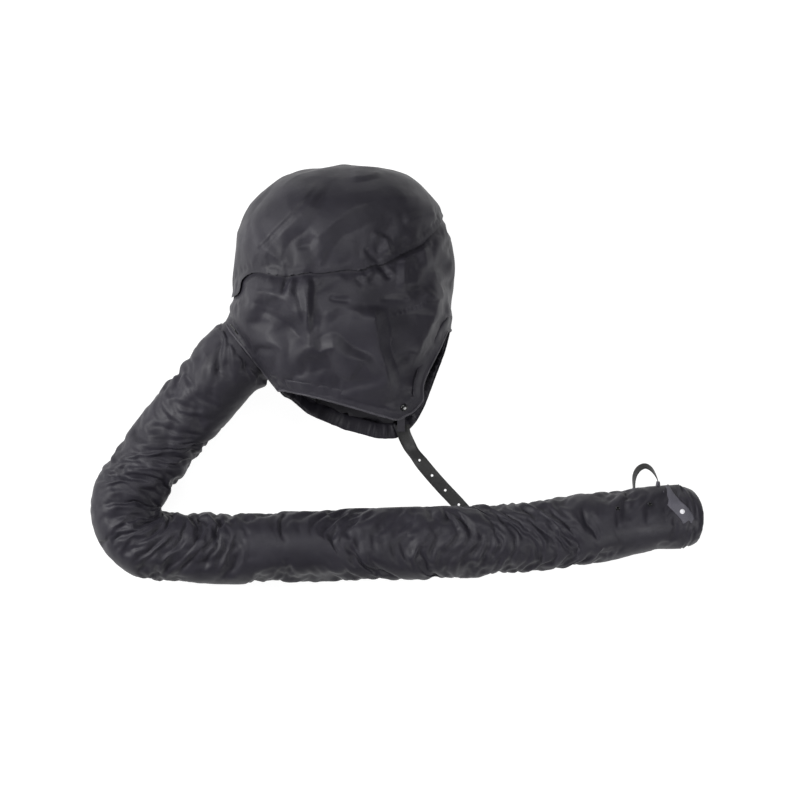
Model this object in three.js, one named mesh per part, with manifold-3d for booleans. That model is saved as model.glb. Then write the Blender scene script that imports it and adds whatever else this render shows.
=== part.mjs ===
// Soft bonnet hair dryer hood: a gathered fabric hood that lies on its side, a fabric-covered
// spiral hose and a mouth that slips over the nozzle of a hand-held dryer.
// Millimetres, +Z up. The wearer of the hood would face +X, the crown points to +Y, and the
// origin is on the flat patch where the hood rests on the table.

import * as THREE from 'three';
import { mergeVertices } from 'three/addons/utils/BufferGeometryUtils.js';
import Module from 'manifold-3d';

const wasm = await Module();
wasm.setup();

// ---------------------------------------------------------------- driving dimensions

const GAP = 0.4; // clearance between neighbouring pieces
const CLOTH = 2; // thickness of a gathered fabric wall

// The hood's ribs, from the crown to the chin: where each one meets the back and the front of
// the hood, and how low and how high it reaches. What is below the table is pressed flat.
const RIBS = [
  { back: [0, 156], front: [0, 156], low: 92, high: 92 },
  { back: [-52, 148], front: [60, 148], low: 36, high: 150 },
  { back: [-92, 127], front: [98, 124], low: 8, high: 181 },
  { back: [-117, 96], front: [117, 93], low: -7, high: 195 },
  { back: [-126, 55], front: [125, 52], low: -12, high: 201 },
  { back: [-131, 14], front: [126, 10], low: -14, high: 202 },
  { back: [-133, -22], front: [127, -38], low: -14, high: 200 },
  { back: [-116, -60], front: [125, -85], low: -13, high: 194 },
  { back: [-88, -104], front: [120, -132], low: -12, high: 184 },
  { back: [-50, -165], front: [104, -178], low: -10, high: 168 },
  { back: [20, -215], front: [20, -215], low: 84, high: 84 },
];
const HOOD_SIDES = 32;
const HOOD_RINGS = 20;
const LINING_SIDES = 24;
const LINING_RINGS = 18;
const SQUARENESS = 0.9; // below 1 makes the ribs fuller than an ellipse

// The opening's edge from the forehead round the jaw to the nape, on the near side of the head
// (the upper one as the hood lies) and on the far side (against the table).
const NEAR_EDGE = [
  [118, -35], [109, -56], [101, -72], [92, -91], [90, -101], [94, -113],
  [81, -128], [62, -139], [35, -132], [-6, -120], [-50, -107], [-76, -103],
];
const FAR_EDGE = [
  [126, -39], [123, -55], [115, -76], [103, -105], [94, -127], [83, -144],
  [73, -155], [60, -163], [38, -163], [-2, -152], [-46, -134], [-74, -110],
];
const BINDING_WIDTH = 3;
const HEM_WIDTH = 17; // from the edge to where the panels begin
const HEM_DEPTH = 6; // from the outer face to the lining
const LINING = 1.2;
const LINING_GAP = 1.8; // from the hem's casing to the lining, which has coarser facets

const NEAR_SEAM_Z = 138; // seams between the side panels and the centre panels
const FAR_SEAM_Z = 60;
const CROWN_SEAM = [
  [-200, 0], [-123, 2], [-110, 27], [-50, 30], [15, 33], [45, 42], [78, 59], [102, 79], [116, 109],
  [200, 130],
];

const AIR_HOLE_RADIUS = 4;
const AIR_HOLE_PITCH = 34;

// The hose leaves the hood square to this seam.
const SEAM = new THREE.Vector3(-115, -60, 80);
const HOSE_OUT = new THREE.Vector3(-0.778, -0.628, 0).normalize();
const INLET_RADIUS = 47;
const INLET_TAPER = 29; // how much wider the hood's funnel is at its root
const INLET_DEPTH = 45; // from the seam back into the hood

// Centre line of the hose, from the hood to the mouth.
const HOSE_ROUTE = [
  [-115, -60, 80], [-135, -76, 76], [-169, -114, 64], [-190, -139, 57], [-218, -175, 49],
  [-247, -213, 44.5], [-255.5, -232.5, 43.7], [-255.5, -253, 43.5], [-246.5, -272, 43.5],
  [-229.5, -285.5, 43.5], [-208, -290.5, 43.5], [-164, -291.5, 43.5], [-118, -291.5, 43.5],
  [-82, -291.5, 43.5], [-12, -289, 44.5], [58, -287.5, 46.5], [129, -285, 47], [182, -281, 47],
  [218, -277.5, 46.6], [253, -273.5, 45.5], [288, -269, 43.6], [323, -263.5, 41.2],
  [358, -257.5, 39.4], [394, -255.2, 38.6], [421, -255.2, 38.6],
];
const HOSE_RADIUS = 42;
const HOSE_END_RADIUS = 36.5;
const TAPER_START = 0.84; // share of the route where the hose begins to narrow
const RUFFLE = 1.5; // how far the fabric stands in and out between the wire's turns
const WIRE_PITCH = 30;
const WIRE_HALF = 1;
const HOSE_SIDES = 12;

// Stretches of the hose, measured along its route.
const ROOT_END = 28; // fabric that bends where the hose leaves the hood
const ELBOW_START = 190;
const ELBOW_END = 320;
const SLEEVE_END_X = 372; // where the fabric that bends behind the cuff begins
const LOWER_SEAMS = [506, 693]; // places where the lower run's lengths of fabric meet

// The mouth, on an axis along X.
const MOUTH_X = 421;
const MOUTH_Y = -255.2;
const MOUTH_Z = 38.6;
const MOUTH_BORE = 25.5;
const CUFF_X = 383.4;
const CUFF_RADIUS = 36.5;

const STRAP_ROUTE = [
  [68, -147, 14], [69, -156, 13.8], [73, -166, 10], [79, -177, 3.4], [87, -188, 0.75],
  [100, -204, 0.75], [115, -221, 0.75], [132, -239, 0.75], [149, -258, 0.75], [166, -277, 0.75],
  [178, -291, 0.75],
];
const STRAP_WIDTH = 16;
const STRAP_THICKNESS = 1.4;
const STRAP_HOLE_RADIUS = 1.5;
const STRAP_HOLE_PITCH = 23.5;
const STRAP_FIRST_HOLE = 50;

const BUTTON_AT = [69, -126];
const BUTTON_RADIUS = 4.4;
const SHANK_RADIUS = 1.6;

const LOOP_FEET_X = [341, 369];
const LOOP_WIDTH = 12;
const LOOP_THICKNESS = 1.2;
const LOOP_REACH = 24;
const TAB_REACH = 3.4;

// ---------------------------------------------------------------- materials

const cloth = (color) => new THREE.MeshStandardMaterial({ color, roughness: 0.62, metalness: 0 });
const NYLON = 0x47454e;
const NYLON_DARK = 0x34323a;
const LINING_COLOR = 0x2e2d33;
const RUBBER = 0x2b2b2c;

const nylon = () => cloth(NYLON);
const darkNylon = () => cloth(NYLON_DARK);
const liningCloth = () => cloth(LINING_COLOR);
const rubber = () => new THREE.MeshStandardMaterial({ color: RUBBER, roughness: 0.75, metalness: 0 });
const gloss = (color) => new THREE.MeshStandardMaterial({ color, roughness: 0.3, metalness: 0 });
const steel = () => new THREE.MeshStandardMaterial({ color: 0xb9bbbd, roughness: 0.35, metalness: 1 });

// ---------------------------------------------------------------- solids and geometries

function bare(geometry) {
  const plain = geometry.clone();
  plain.deleteAttribute('normal');
  plain.deleteAttribute('uv');
  return mergeVertices(plain, 1e-4);
}

function solidOf(geometry) {
  const merged = bare(geometry);
  return new wasm.Manifold(new wasm.Mesh({
    numProp: 3,
    vertProperties: new Float32Array(merged.attributes.position.array),
    triVerts: new Uint32Array(merged.index.array),
  }));
}

function geometryOf(solid) {
  const mesh = solid.getMesh();
  const geometry = new THREE.BufferGeometry();
  geometry.setAttribute('position', new THREE.BufferAttribute(mesh.vertProperties, 3));
  geometry.setIndex(new THREE.BufferAttribute(mesh.triVerts, 1));
  return geometry;
}

function indexed(points, faces) {
  const geometry = new THREE.BufferGeometry();
  geometry.setAttribute('position', new THREE.Float32BufferAttribute(points.flatMap((p) => p.toArray()), 3));
  geometry.setIndex(faces);
  return geometry;
}

// A closed body with its faces turned so that they point out.
function facingOut(geometry) {
  const merged = bare(geometry);
  const corners = merged.attributes.position;
  const faces = Array.from(merged.index.array);
  const [a, b, c] = [new THREE.Vector3(), new THREE.Vector3(), new THREE.Vector3()];
  let volume = 0;
  for (let i = 0; i < faces.length; i += 3) {
    a.fromBufferAttribute(corners, faces[i]);
    b.fromBufferAttribute(corners, faces[i + 1]);
    c.fromBufferAttribute(corners, faces[i + 2]);
    volume += a.dot(b.cross(c));
  }
  merged.setIndex(volume < 0 ? faces.reverse() : faces);
  return merged;
}

// Round body from [radius, height] pairs about +Y, starting and ending on the axis or closed.
function lathe(profile, sides) {
  const points = profile.map(([r, h]) => new THREE.Vector2(r, h));
  return facingOut(new THREE.LatheGeometry(points, sides));
}

const closedLathe = (profile, sides) => lathe([...profile, profile[0]], sides);

// Triangles over a ring: a fan, or for a ring that isn't convex the triangles of its outline.
function capOf(sides, outline) {
  return outline
    ? THREE.ShapeUtils.triangulateShape(outline, [])
    : Array.from({ length: sides - 2 }, (_, i) => [0, i + 1, i + 2]);
}

// Closed solid through rings of points: capped at both ends, or joined back to the first ring.
function loft(rings, joined = false, outline = null) {
  const sides = rings[0].length;
  const faces = [];
  const spans = joined ? rings.length : rings.length - 1;
  for (let i = 0; i < spans; i++) {
    const a = i * sides;
    const b = ((i + 1) % rings.length) * sides;
    for (let j = 0; j < sides; j++) {
      const k = (j + 1) % sides;
      faces.push(a + j, a + k, b + k, a + j, b + k, b + j);
    }
  }
  const last = (rings.length - 1) * sides;
  for (const [a, b, c] of joined ? [] : capOf(sides, outline)) {
    faces.push(a, c, b, last + a, last + b, last + c);
  }
  return facingOut(indexed(rings.flat(), faces));
}

function prism(outline, low, high) {
  const shape = new THREE.Shape(outline.map(([x, y]) => new THREE.Vector2(x, y)));
  const body = new THREE.ExtrudeGeometry(shape, { depth: high - low, bevelEnabled: false });
  return solidOf(body.translate(0, 0, low));
}

function box(x0, x1, y0, y1, z0, z1) {
  const block = new THREE.BoxGeometry(x1 - x0, y1 - y0, z1 - z0);
  return solidOf(block.translate((x0 + x1) / 2, (y0 + y1) / 2, (z0 + z1) / 2));
}

// Puts a geometry built along +Y at a point, with +Y turned to the given direction.
function stand(geometry, at, direction) {
  const turn = new THREE.Quaternion().setFromUnitVectors(new THREE.Vector3(0, 1, 0), direction);
  return geometry.applyQuaternion(turn).translate(at.x, at.y, at.z);
}

function rod(radius, from, to, sides = 12, endRadius = radius) {
  const axis = to.clone().sub(from);
  const bar = new THREE.CylinderGeometry(endRadius, radius, axis.length(), sides);
  return stand(bar, from.clone().lerp(to, 0.5), axis.normalize());
}

const xyz = ([x, y, z]) => new THREE.Vector3(x, y, z);

// ---------------------------------------------------------------- hood surface

const curveOf = (points) => new THREE.CatmullRomCurve3(points, false, 'catmullrom');
const backLine = curveOf(RIBS.map((rib) => new THREE.Vector3(...rib.back, rib.low)));
const frontLine = curveOf(RIBS.map((rib) => new THREE.Vector3(...rib.front, rib.high)));

function hoodPoint(onBall) {
  const t = Math.acos(THREE.MathUtils.clamp(onBall.y, -1, 1)) / Math.PI;
  const around = Math.atan2(onBall.z, onBall.x);
  const full = (value) => Math.sign(value) * Math.abs(value) ** SQUARENESS;
  const back = backLine.getPoint(t);
  const front = frontLine.getPoint(t);
  const middle = back.clone().lerp(front, 0.5);
  const half = front.clone().sub(back).multiplyScalar(0.5);
  const wide = full(Math.cos(around));
  const tall = full(Math.sin(around));
  return new THREE.Vector3(
    middle.x + half.x * wide,
    middle.y + half.y * wide,
    middle.z + half.z * tall,
  );
}

// The hood's face moved inwards by inset, pressed flat where it meets the table.
function hoodFace(inset, sides = HOOD_SIDES, rings = HOOD_RINGS) {
  const face = bare(new THREE.SphereGeometry(1, sides, rings));
  const at = face.attributes.position;
  const p = new THREE.Vector3();
  for (let i = 0; i < at.count; i++) {
    at.setXYZ(i, ...hoodPoint(p.fromBufferAttribute(at, i)).toArray());
  }
  face.computeVertexNormals();
  const n = new THREE.Vector3();
  for (let i = 0; i < at.count; i++) {
    p.fromBufferAttribute(at, i);
    n.fromBufferAttribute(face.attributes.normal, i);
    p.addScaledVector(n, -inset);
    at.setXYZ(i, p.x, p.y, Math.max(p.z, inset));
  }
  return face;
}

// The funnel that the hood's fabric makes towards the hose.
function inletFunnel(inset) {
  const root = SEAM.clone().addScaledVector(HOSE_OUT, -INLET_DEPTH);
  const tip = SEAM.clone().addScaledVector(HOSE_OUT, INLET_DEPTH / 9);
  const wide = INLET_RADIUS + INLET_TAPER - inset;
  const narrow = INLET_RADIUS - INLET_TAPER / 9 - inset;
  return solidOf(rod(wide, root, tip, 32, narrow));
}

function seamSlab(start, end, halfWidth) {
  const block = new THREE.BoxGeometry(2 * halfWidth, end - start, 200);
  const at = SEAM.clone().addScaledVector(HOSE_OUT, (start + end) / 2);
  const turn = Math.atan2(HOSE_OUT.y, HOSE_OUT.x) - Math.PI / 2;
  return solidOf(block.rotateZ(turn).translate(at.x, at.y, at.z));
}

function hoodShell(outer, inner) {
  const outside = solidOf(hoodFace(outer)).add(inletFunnel(outer));
  const inside = solidOf(hoodFace(inner)).add(inletFunnel(inner));
  return outside.subtract(inside).subtract(seamSlab(0, 60, 70));
}

// Moves the edge of the opening into the hood by a distance.
function movedEdge(edge, distance) {
  return edge.map(([x, y], i) => {
    const before = edge[Math.max(i - 1, 0)];
    const after = edge[Math.min(i + 1, edge.length - 1)];
    const along = new THREE.Vector2(after[0] - before[0], after[1] - before[1]).normalize();
    return [x + along.y * distance, y - along.x * distance];
  });
}

// Everything past the edge of the opening, as one solid that leans from the far edge to the near.
function pastEdge(distance) {
  const close = (edge) => {
    const [x0, y0] = edge[0];
    const [x1, y1] = edge[edge.length - 1];
    const out = [x1 + HOSE_OUT.x * 120, y1 + HOSE_OUT.y * 120];
    return [[x0 + 130, y0 + 5], ...edge, out, [-60, -330], [260, -330]];
  };
  const ring = (edge, z) => close(movedEdge(edge, distance)).map(([x, y]) => xyz([x, y, z]));
  const far = ring(FAR_EDGE, 0);
  const near = ring(NEAR_EDGE, 190);
  const under = far.map((p, i) => p.clone().lerp(near[i], -0.1));
  const over = far.map((p, i) => p.clone().lerp(near[i], 1.2));
  const outline = under.map((p) => new THREE.Vector2(p.x, p.y));
  return solidOf(loft([under, over], false, outline));
}

// Part of a layer of the hood between two distances from the edge, clear of the inlet's seam.
function hemBand(outer, inner, start, end, clear = 16 + GAP) {
  const band = pastEdge(end).subtract(start > 0 ? pastEdge(start) : pastEdge(0));
  return hoodShell(outer, inner).intersect(band).subtract(seamSlab(-clear, 60, 54 + clear));
}

// ---------------------------------------------------------------- hose

const route = new THREE.CatmullRomCurve3(HOSE_ROUTE.map(xyz), false, 'centripetal');
route.arcLengthDivisions = 2000;
const HOSE_LENGTH = route.getLength();
const UP = new THREE.Vector3(0, 0, 1);

function hoseFrame(s) {
  const t = THREE.MathUtils.clamp(s / HOSE_LENGTH, 0, 1);
  const along = route.getTangentAt(t);
  const side = along.clone().cross(UP).normalize();
  return { at: route.getPointAt(t), along, side, up: side.clone().cross(along) };
}

function hoseRadius(s) {
  const narrowing = THREE.MathUtils.smoothstep(s / HOSE_LENGTH, TAPER_START, 0.95);
  return THREE.MathUtils.lerp(HOSE_RADIUS, HOSE_END_RADIUS, narrowing);
}

function alongAtX(x) {
  let s = HOSE_LENGTH;
  while (hoseFrame(s).at.x > x) {
    s -= 0.5;
  }
  return s;
}

const SLEEVE_END = alongAtX(SLEEVE_END_X);

function hoseRing(s, radius) {
  const { at, side, up } = hoseFrame(s);
  return Array.from({ length: HOSE_SIDES }, (_, i) => {
    const angle = (2 * Math.PI * i) / HOSE_SIDES;
    return at.clone()
      .addScaledVector(side, radius * Math.cos(angle))
      .addScaledVector(up, radius * Math.sin(angle));
  });
}

// A hollow stretch of the fabric sleeve, standing out over each turn of the wire.
function sleeve(start, end) {
  const count = Math.max(2, Math.round((2 * (end - start)) / WIRE_PITCH));
  const stations = Array.from({ length: count + 1 }, (_, i) => {
    const s = start + ((end - start) * i) / count;
    return { s, radius: hoseRadius(s) + (i % 2 ? RUFFLE : -RUFFLE) };
  });
  const outside = stations.map(({ s, radius }) => hoseRing(s, radius));
  const inside = stations.map(({ s, radius }) => hoseRing(s, radius - CLOTH)).reverse();
  return loft([...outside, ...inside], true);
}

// A stretch of the wire spiral inside the sleeve, of square section.
function spiral(start, end) {
  const steps = Math.round(((end - start) / WIRE_PITCH) * HOSE_SIDES);
  const rings = [];
  for (let i = 0; i <= steps; i++) {
    const s = start + ((end - start) * i) / steps;
    const { at, along, side, up } = hoseFrame(s);
    const angle = (2 * Math.PI * i) / HOSE_SIDES;
    const out = side.clone().multiplyScalar(Math.cos(angle)).addScaledVector(up, Math.sin(angle));
    const centre = hoseRadius(s) - RUFFLE - CLOTH - GAP - WIRE_HALF - 0.6;
    const corner = (a, b) => at.clone()
      .addScaledVector(out, centre + a * WIRE_HALF)
      .addScaledVector(along, b * WIRE_HALF);
    rings.push([corner(-1, -1), corner(-1, 1), corner(1, 1), corner(1, -1)]);
  }
  return loft(rings);
}

// ---------------------------------------------------------------- ribbons

// A flat band along a curve: across is its size square to the curve in plan, tall along Z.
function ribbon(curve, steps, across, tall) {
  const rings = [];
  for (let i = 0; i <= steps; i++) {
    const t = i / steps;
    const at = curve.getPointAt(t);
    const side = curve.getTangentAt(t).cross(UP).normalize();
    const corner = (a, b) => at.clone()
      .addScaledVector(side, (a * across(t)) / 2)
      .addScaledVector(UP, (b * tall(t)) / 2);
    rings.push([corner(-1, -1), corner(1, -1), corner(1, 1), corner(-1, 1)]);
  }
  return loft(rings);
}

// ---------------------------------------------------------------- places on the hood

const hoodTarget = new THREE.Mesh(hoodFace(0), new THREE.MeshBasicMaterial());

function onNearSide([x, y]) {
  const ray = new THREE.Raycaster(new THREE.Vector3(x, y, 400), new THREE.Vector3(0, 0, -1));
  const hit = ray.intersectObject(hoodTarget)[0];
  return { at: hit.point, out: hit.face.normal.clone() };
}

function onMouth(x, turn, radius) {
  const out = new THREE.Vector3(0, Math.sin(turn), Math.cos(turn));
  return { at: new THREE.Vector3(x, MOUTH_Y, MOUTH_Z).addScaledVector(out, radius), out };
}

// ---------------------------------------------------------------- the pieces

const object = new THREE.Group();

function piece(name, geometry, material) {
  const mesh = new THREE.Mesh(geometry, material);
  mesh.name = name;
  object.add(mesh);
}

function addPanels(buttonHole) {
  const shell = hoodShell(0, CLOTH);
  const keep = shell.subtract(pastEdge(HEM_WIDTH + 2 * GAP).subtract(seamSlab(-16, 60, 70)));
  const far = 400;
  const crown = [...CROWN_SEAM, [200, 250], [-200, 250]];
  const upper = prism(crown, -20, 260);
  const lower = prism(crown.map(([x, y]) => [x + GAP, y - GAP]), -20, 260);
  const near = keep
    .intersect(box(-far, far, -far, far, NEAR_SEAM_Z + GAP / 2, far))
    .subtract(buttonHole);
  const table = keep.intersect(box(-far, far, -far, far, -far, FAR_SEAM_Z - GAP / 2));
  const centre = keep.intersect(
    box(-far, far, -far, far, FAR_SEAM_Z + GAP / 2, NEAR_SEAM_Z - GAP / 2),
  );
  piece('crown_panel_near', geometryOf(near.intersect(upper)), nylon());
  piece('cheek_panel_near', geometryOf(near.subtract(lower)), nylon());
  piece('crown_panel_far', geometryOf(table.intersect(upper)), nylon());
  piece('cheek_panel_far', geometryOf(table.subtract(lower)), nylon());
  piece('forehead_panel', geometryOf(centre.intersect(box(GAP / 2, far, -far, far, 0, far))), nylon());
  piece('nape_panel', geometryOf(centre.intersect(box(-far, -GAP / 2, -far, far, 0, far))), nylon());
}

function addHem(buttonHole) {
  const pocketDepth = 2.2;
  const binding = hemBand(0, HEM_DEPTH, 0, BINDING_WIDTH);
  const pocket = hemBand(CLOTH, CLOTH + pocketDepth, BINDING_WIDTH + 2, HEM_WIDTH + 1);
  const casing = hemBand(0, HEM_DEPTH, BINDING_WIDTH + GAP, HEM_WIDTH)
    .subtract(pocket)
    .subtract(buttonHole);
  const start = BINDING_WIDTH + 2 + 2 * GAP;
  const elastic = hemBand(CLOTH + 2 * GAP, CLOTH + pocketDepth - GAP, start, HEM_WIDTH - 1, 28)
    .subtract(buttonHole);
  piece('edge_binding', geometryOf(binding), nylon());
  piece('hem_casing', geometryOf(casing), nylon());
  piece('hem_elastic', geometryOf(elastic), rubber());
}

function addLining(buttonHole) {
  const layer = solidOf(hoodFace(HEM_DEPTH + LINING_GAP, LINING_SIDES, LINING_RINGS))
    .subtract(solidOf(hoodFace(HEM_DEPTH + LINING_GAP + LINING, LINING_SIDES, LINING_RINGS)))
    .subtract(pastEdge(BINDING_WIDTH + GAP))
    .subtract(seamSlab(-14, 60, 70))
    .subtract(buttonHole);
  let holed = layer;
  for (let row = -1; row <= 3; row++) {
    for (let column = -2; column <= 2; column++) {
      const x = AIR_HOLE_PITCH * (column + (row % 2 ? 0.5 : 0)) - 12;
      const y = AIR_HOLE_PITCH * row - 18;
      const through = rod(AIR_HOLE_RADIUS, xyz([x, y, -20]), xyz([x, y, 240]), 6);
      holed = holed.subtract(solidOf(through));
    }
  }
  piece('air_lining', geometryOf(holed), liningCloth());
}

function addInlet() {
  const hoop = new THREE.TorusGeometry(INLET_RADIUS - CLOTH - 3, 1.8, 6, 24);
  const at = SEAM.clone().addScaledVector(HOSE_OUT, -6);
  const turn = new THREE.Quaternion().setFromUnitVectors(UP, HOSE_OUT);
  piece('inlet_hoop', hoop.applyQuaternion(turn).translate(at.x, at.y, at.z), gloss(0x1d1d1f));
}

function buttonParts() {
  const { at, out } = onNearSide(BUTTON_AT);
  const place = (geometry) => stand(geometry, at, out);
  const reach = HEM_DEPTH + LINING_GAP + LINING;
  const dome = [
    [0, -reach - 1], [SHANK_RADIUS, -reach - 1], [SHANK_RADIUS, 0.6], [BUTTON_RADIUS, 0.6],
    [BUTTON_RADIUS, 2], [BUTTON_RADIUS - 1.2, 3], [0, 3.4],
  ];
  const grip = SHANK_RADIUS + GAP;
  const disc = [[grip, -reach - 1.6], [5, -reach - 1.6], [5, -reach - 0.5], [grip, -reach - 0.5]];
  const hole = place(new THREE.CylinderGeometry(grip, grip, 2 * reach + 8, 12));
  return {
    button: place(lathe(dome, 20)),
    backing: place(closedLathe(disc, 16)),
    hole: solidOf(hole),
  };
}

function addStrap() {
  const line = new THREE.CatmullRomCurve3(STRAP_ROUTE.map(xyz), false, 'centripetal');
  const long = line.getLength();
  const round = (t) => Math.min(1, 0.55 + 3 * Math.min(1 - t, 0.15));
  let band = solidOf(ribbon(line, 26, (t) => STRAP_WIDTH * round(t), () => STRAP_THICKNESS));
  for (let s = STRAP_FIRST_HOLE; s < long - 8; s += STRAP_HOLE_PITCH) {
    const { x, y } = line.getPointAt(s / long);
    band = band.subtract(solidOf(rod(STRAP_HOLE_RADIUS, xyz([x, y, -5]), xyz([x, y, 20]), 10)));
  }
  piece('chin_strap', geometryOf(band), rubber());
  const patch = new THREE.BoxGeometry(9, 20, 1.2).translate(66, -145, 15.8);
  piece('strap_anchor', patch, darkNylon());
}

function addHose() {
  piece('root_sleeve', sleeve(GAP, ROOT_END - GAP), nylon());
  piece('upper_sleeve', sleeve(ROOT_END, ELBOW_START), nylon());
  piece('elbow_sleeve', sleeve(ELBOW_START + GAP, ELBOW_END - GAP), nylon());
  const [rear, front] = LOWER_SEAMS;
  piece('lower_sleeve_rear', sleeve(ELBOW_END, rear - GAP), nylon());
  piece('lower_sleeve_middle', sleeve(rear, front - GAP), nylon());
  piece('lower_sleeve_front', sleeve(front, SLEEVE_END), nylon());
  piece('neck_sleeve', sleeve(SLEEVE_END + GAP, SLEEVE_END + 9), nylon());
  piece('upper_spiral', spiral(ROOT_END + 3, ELBOW_START - 4), steel());
  piece('elbow_spiral', spiral(ELBOW_START + 1, ELBOW_END - 1), steel());
  piece('lower_spiral', spiral(ELBOW_END + 4, SLEEVE_END - 6), steel());
}

function mouthLathe(profile, sides = 28) {
  return closedLathe(profile, sides).rotateZ(-Math.PI / 2).translate(0, MOUTH_Y, MOUTH_Z);
}

function addMouth() {
  const end = MOUTH_X;
  const inner = CUFF_RADIUS - CLOTH;
  const snapAt = onMouth(395, 0.19, CUFF_RADIUS);
  const down = snapAt.out.clone().negate();
  const above = snapAt.at.clone().addScaledVector(snapAt.out, 4);
  const hole = rod(1.2, above, snapAt.at.clone().addScaledVector(down, 6));
  const cuff = mouthLathe([
    [CUFF_RADIUS, CUFF_X], [CUFF_RADIUS + 0.4, 396], [CUFF_RADIUS, 412], [CUFF_RADIUS - 1.4, 418],
    [CUFF_RADIUS - 3.6, end - 0.4], [30.8, end - 0.4], [30.8, end - 2.4], [CUFF_RADIUS - 4.4, end - 2.6],
    [inner - 1, 414.5], [inner - 0.3, 410], [inner, 396], [inner - 0.4, CUFF_X],
  ]);
  piece('mouth_cuff', geometryOf(solidOf(cuff).subtract(solidOf(hole))), nylon());
  piece('mouth_ring', mouthLathe([
    [MOUTH_BORE, 386], [MOUTH_BORE, end], [30.4, end], [30.4, 412], [31.6, 409], [31.6, 386],
  ]), rubber());
  const elastic = [[30.9, 413.5], [32.2, 413.5], [32.2, 416.8], [30.9, 416.8]];
  piece('rim_elastic', mouthLathe(elastic, 24), rubber());
  piece('cuff_band', mouthLathe([
    [CUFF_RADIUS + 0.9, CUFF_X + 1], [CUFF_RADIUS + 2, CUFF_X + 1],
    [CUFF_RADIUS + 2, CUFF_X + 7], [CUFF_RADIUS + 0.9, CUFF_X + 7],
  ]), darkNylon());
  addSnap(snapAt);
}

function addSnap({ at, out }) {
  const cap = [[0, -3.6], [0.8, -3.6], [0.8, 0.6], [2.8, 0.6], [2.6, 1.3], [1.6, 1.8], [0, 1.9]];
  const washer = [[1.2, -3.4], [2.6, -3.4], [2.6, -2.7], [1.2, -2.7]];
  piece('snap_cap', stand(lathe(cap, 16), at, out), gloss(0xe4e3e6));
  piece('snap_washer', stand(closedLathe(washer, 16), at, out), steel());
}

function addEyelets() {
  const ring = [[1.2, 0.5], [2.6, 0.5], [2.4, 1.3], [1.5, 1.5], [1.2, 1.2]];
  [['eyelet_front', 357.5, 0.36], ['eyelet_rear', 319.5, 0.42]].forEach(([name, x, turn]) => {
    const s = alongAtX(x);
    const { at, side, up } = hoseFrame(s);
    const out = up.clone().multiplyScalar(Math.cos(turn)).addScaledVector(side, -Math.sin(turn)).normalize();
    const foot = at.clone().addScaledVector(out, hoseRadius(s) + RUFFLE);
    piece(name, stand(closedLathe(ring, 14), foot, out), gloss(0x19191b));
  });
}

function addLoop() {
  const feet = LOOP_FEET_X.map((x) => {
    const s = alongAtX(x);
    const { at } = hoseFrame(s);
    return new THREE.Vector3(x, at.y + hoseRadius(s) + RUFFLE + GAP, at.z);
  });
  const level = (feet[0].z + feet[1].z) / 2;
  const base = Math.max(feet[0].y, feet[1].y) + TAB_REACH + 1.5;
  const middle = (feet[0].x + feet[1].x) / 2;
  const arch = curveOf([
    [feet[0].x, base], [feet[0].x + 1, base + 9], [middle - 6, base + LOOP_REACH - 7],
    [middle, base + LOOP_REACH - 4], [middle + 6, base + LOOP_REACH - 7],
    [feet[1].x - 1, base + 9], [feet[1].x, base],
  ].map(([x, y]) => xyz([x, y, level])));
  const swell = (t) => 4 + (LOOP_WIDTH - 4) * Math.min(1, 5 * Math.min(t, 1 - t));
  piece('pull_loop', ribbon(arch, 20, () => LOOP_THICKNESS, swell), rubber());
  feet.forEach(({ x, y }, i) => {
    const tab = new THREE.BoxGeometry(5, base - 1.5 - y, 7).translate(x, (y + base - 1.5) / 2, level);
    piece(i ? 'loop_tab_front' : 'loop_tab_rear', tab, darkNylon());
  });
}

const { button, backing, hole } = buttonParts();
addPanels(hole);
addHem(hole);
addLining(hole);
addInlet();
piece('chin_button', button, gloss(0x17171a));
piece('button_backing', backing, gloss(0x202023));
addStrap();
addHose();
addMouth();
addEyelets();
addLoop();

export default object;
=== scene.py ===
"""Soft bonnet hair dryer hood, lying on its side: the looks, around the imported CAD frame.

Metres, in the row's frame: the hood rests on the table at the origin, +Y runs from chin to crown and
+X is the way that the wearer would face. The camera looks straight down.
"""

import math

import bmesh
import bpy
import numpy as np
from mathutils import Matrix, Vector, noise


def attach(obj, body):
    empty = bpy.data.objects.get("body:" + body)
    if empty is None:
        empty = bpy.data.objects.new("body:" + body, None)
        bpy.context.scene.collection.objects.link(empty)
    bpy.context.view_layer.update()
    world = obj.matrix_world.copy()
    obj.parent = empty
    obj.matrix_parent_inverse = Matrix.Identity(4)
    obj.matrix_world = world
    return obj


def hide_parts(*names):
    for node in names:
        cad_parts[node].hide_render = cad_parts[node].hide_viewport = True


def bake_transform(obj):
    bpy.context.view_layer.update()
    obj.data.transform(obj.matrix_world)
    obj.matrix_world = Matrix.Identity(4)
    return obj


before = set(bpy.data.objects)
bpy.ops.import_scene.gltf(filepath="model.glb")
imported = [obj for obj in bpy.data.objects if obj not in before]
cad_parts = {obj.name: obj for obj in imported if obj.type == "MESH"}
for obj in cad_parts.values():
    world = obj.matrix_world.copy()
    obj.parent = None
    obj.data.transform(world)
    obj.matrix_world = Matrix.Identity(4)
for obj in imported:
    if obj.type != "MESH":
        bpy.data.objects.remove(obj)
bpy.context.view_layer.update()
MM = 0.001

# ------------------------------------------------------------------ camera

VIEW_CENTRE = Vector((0.0647, -0.1176, 0.05))
VIEW_WIDTH = 0.941
CAMERA_HEIGHT = 5.0


def add_camera():
    data = bpy.data.cameras.new("camera")
    data.sensor_width = 36
    data.lens = data.sensor_width * CAMERA_HEIGHT / VIEW_WIDTH
    data.clip_end = 50
    camera = bpy.data.objects.new("camera", data)
    camera.location = VIEW_CENTRE + Vector((0, 0, CAMERA_HEIGHT))
    bpy.context.scene.collection.objects.link(camera)
    bpy.context.scene.camera = camera


add_camera()

# ------------------------------------------------------------------ the hose's route

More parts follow.
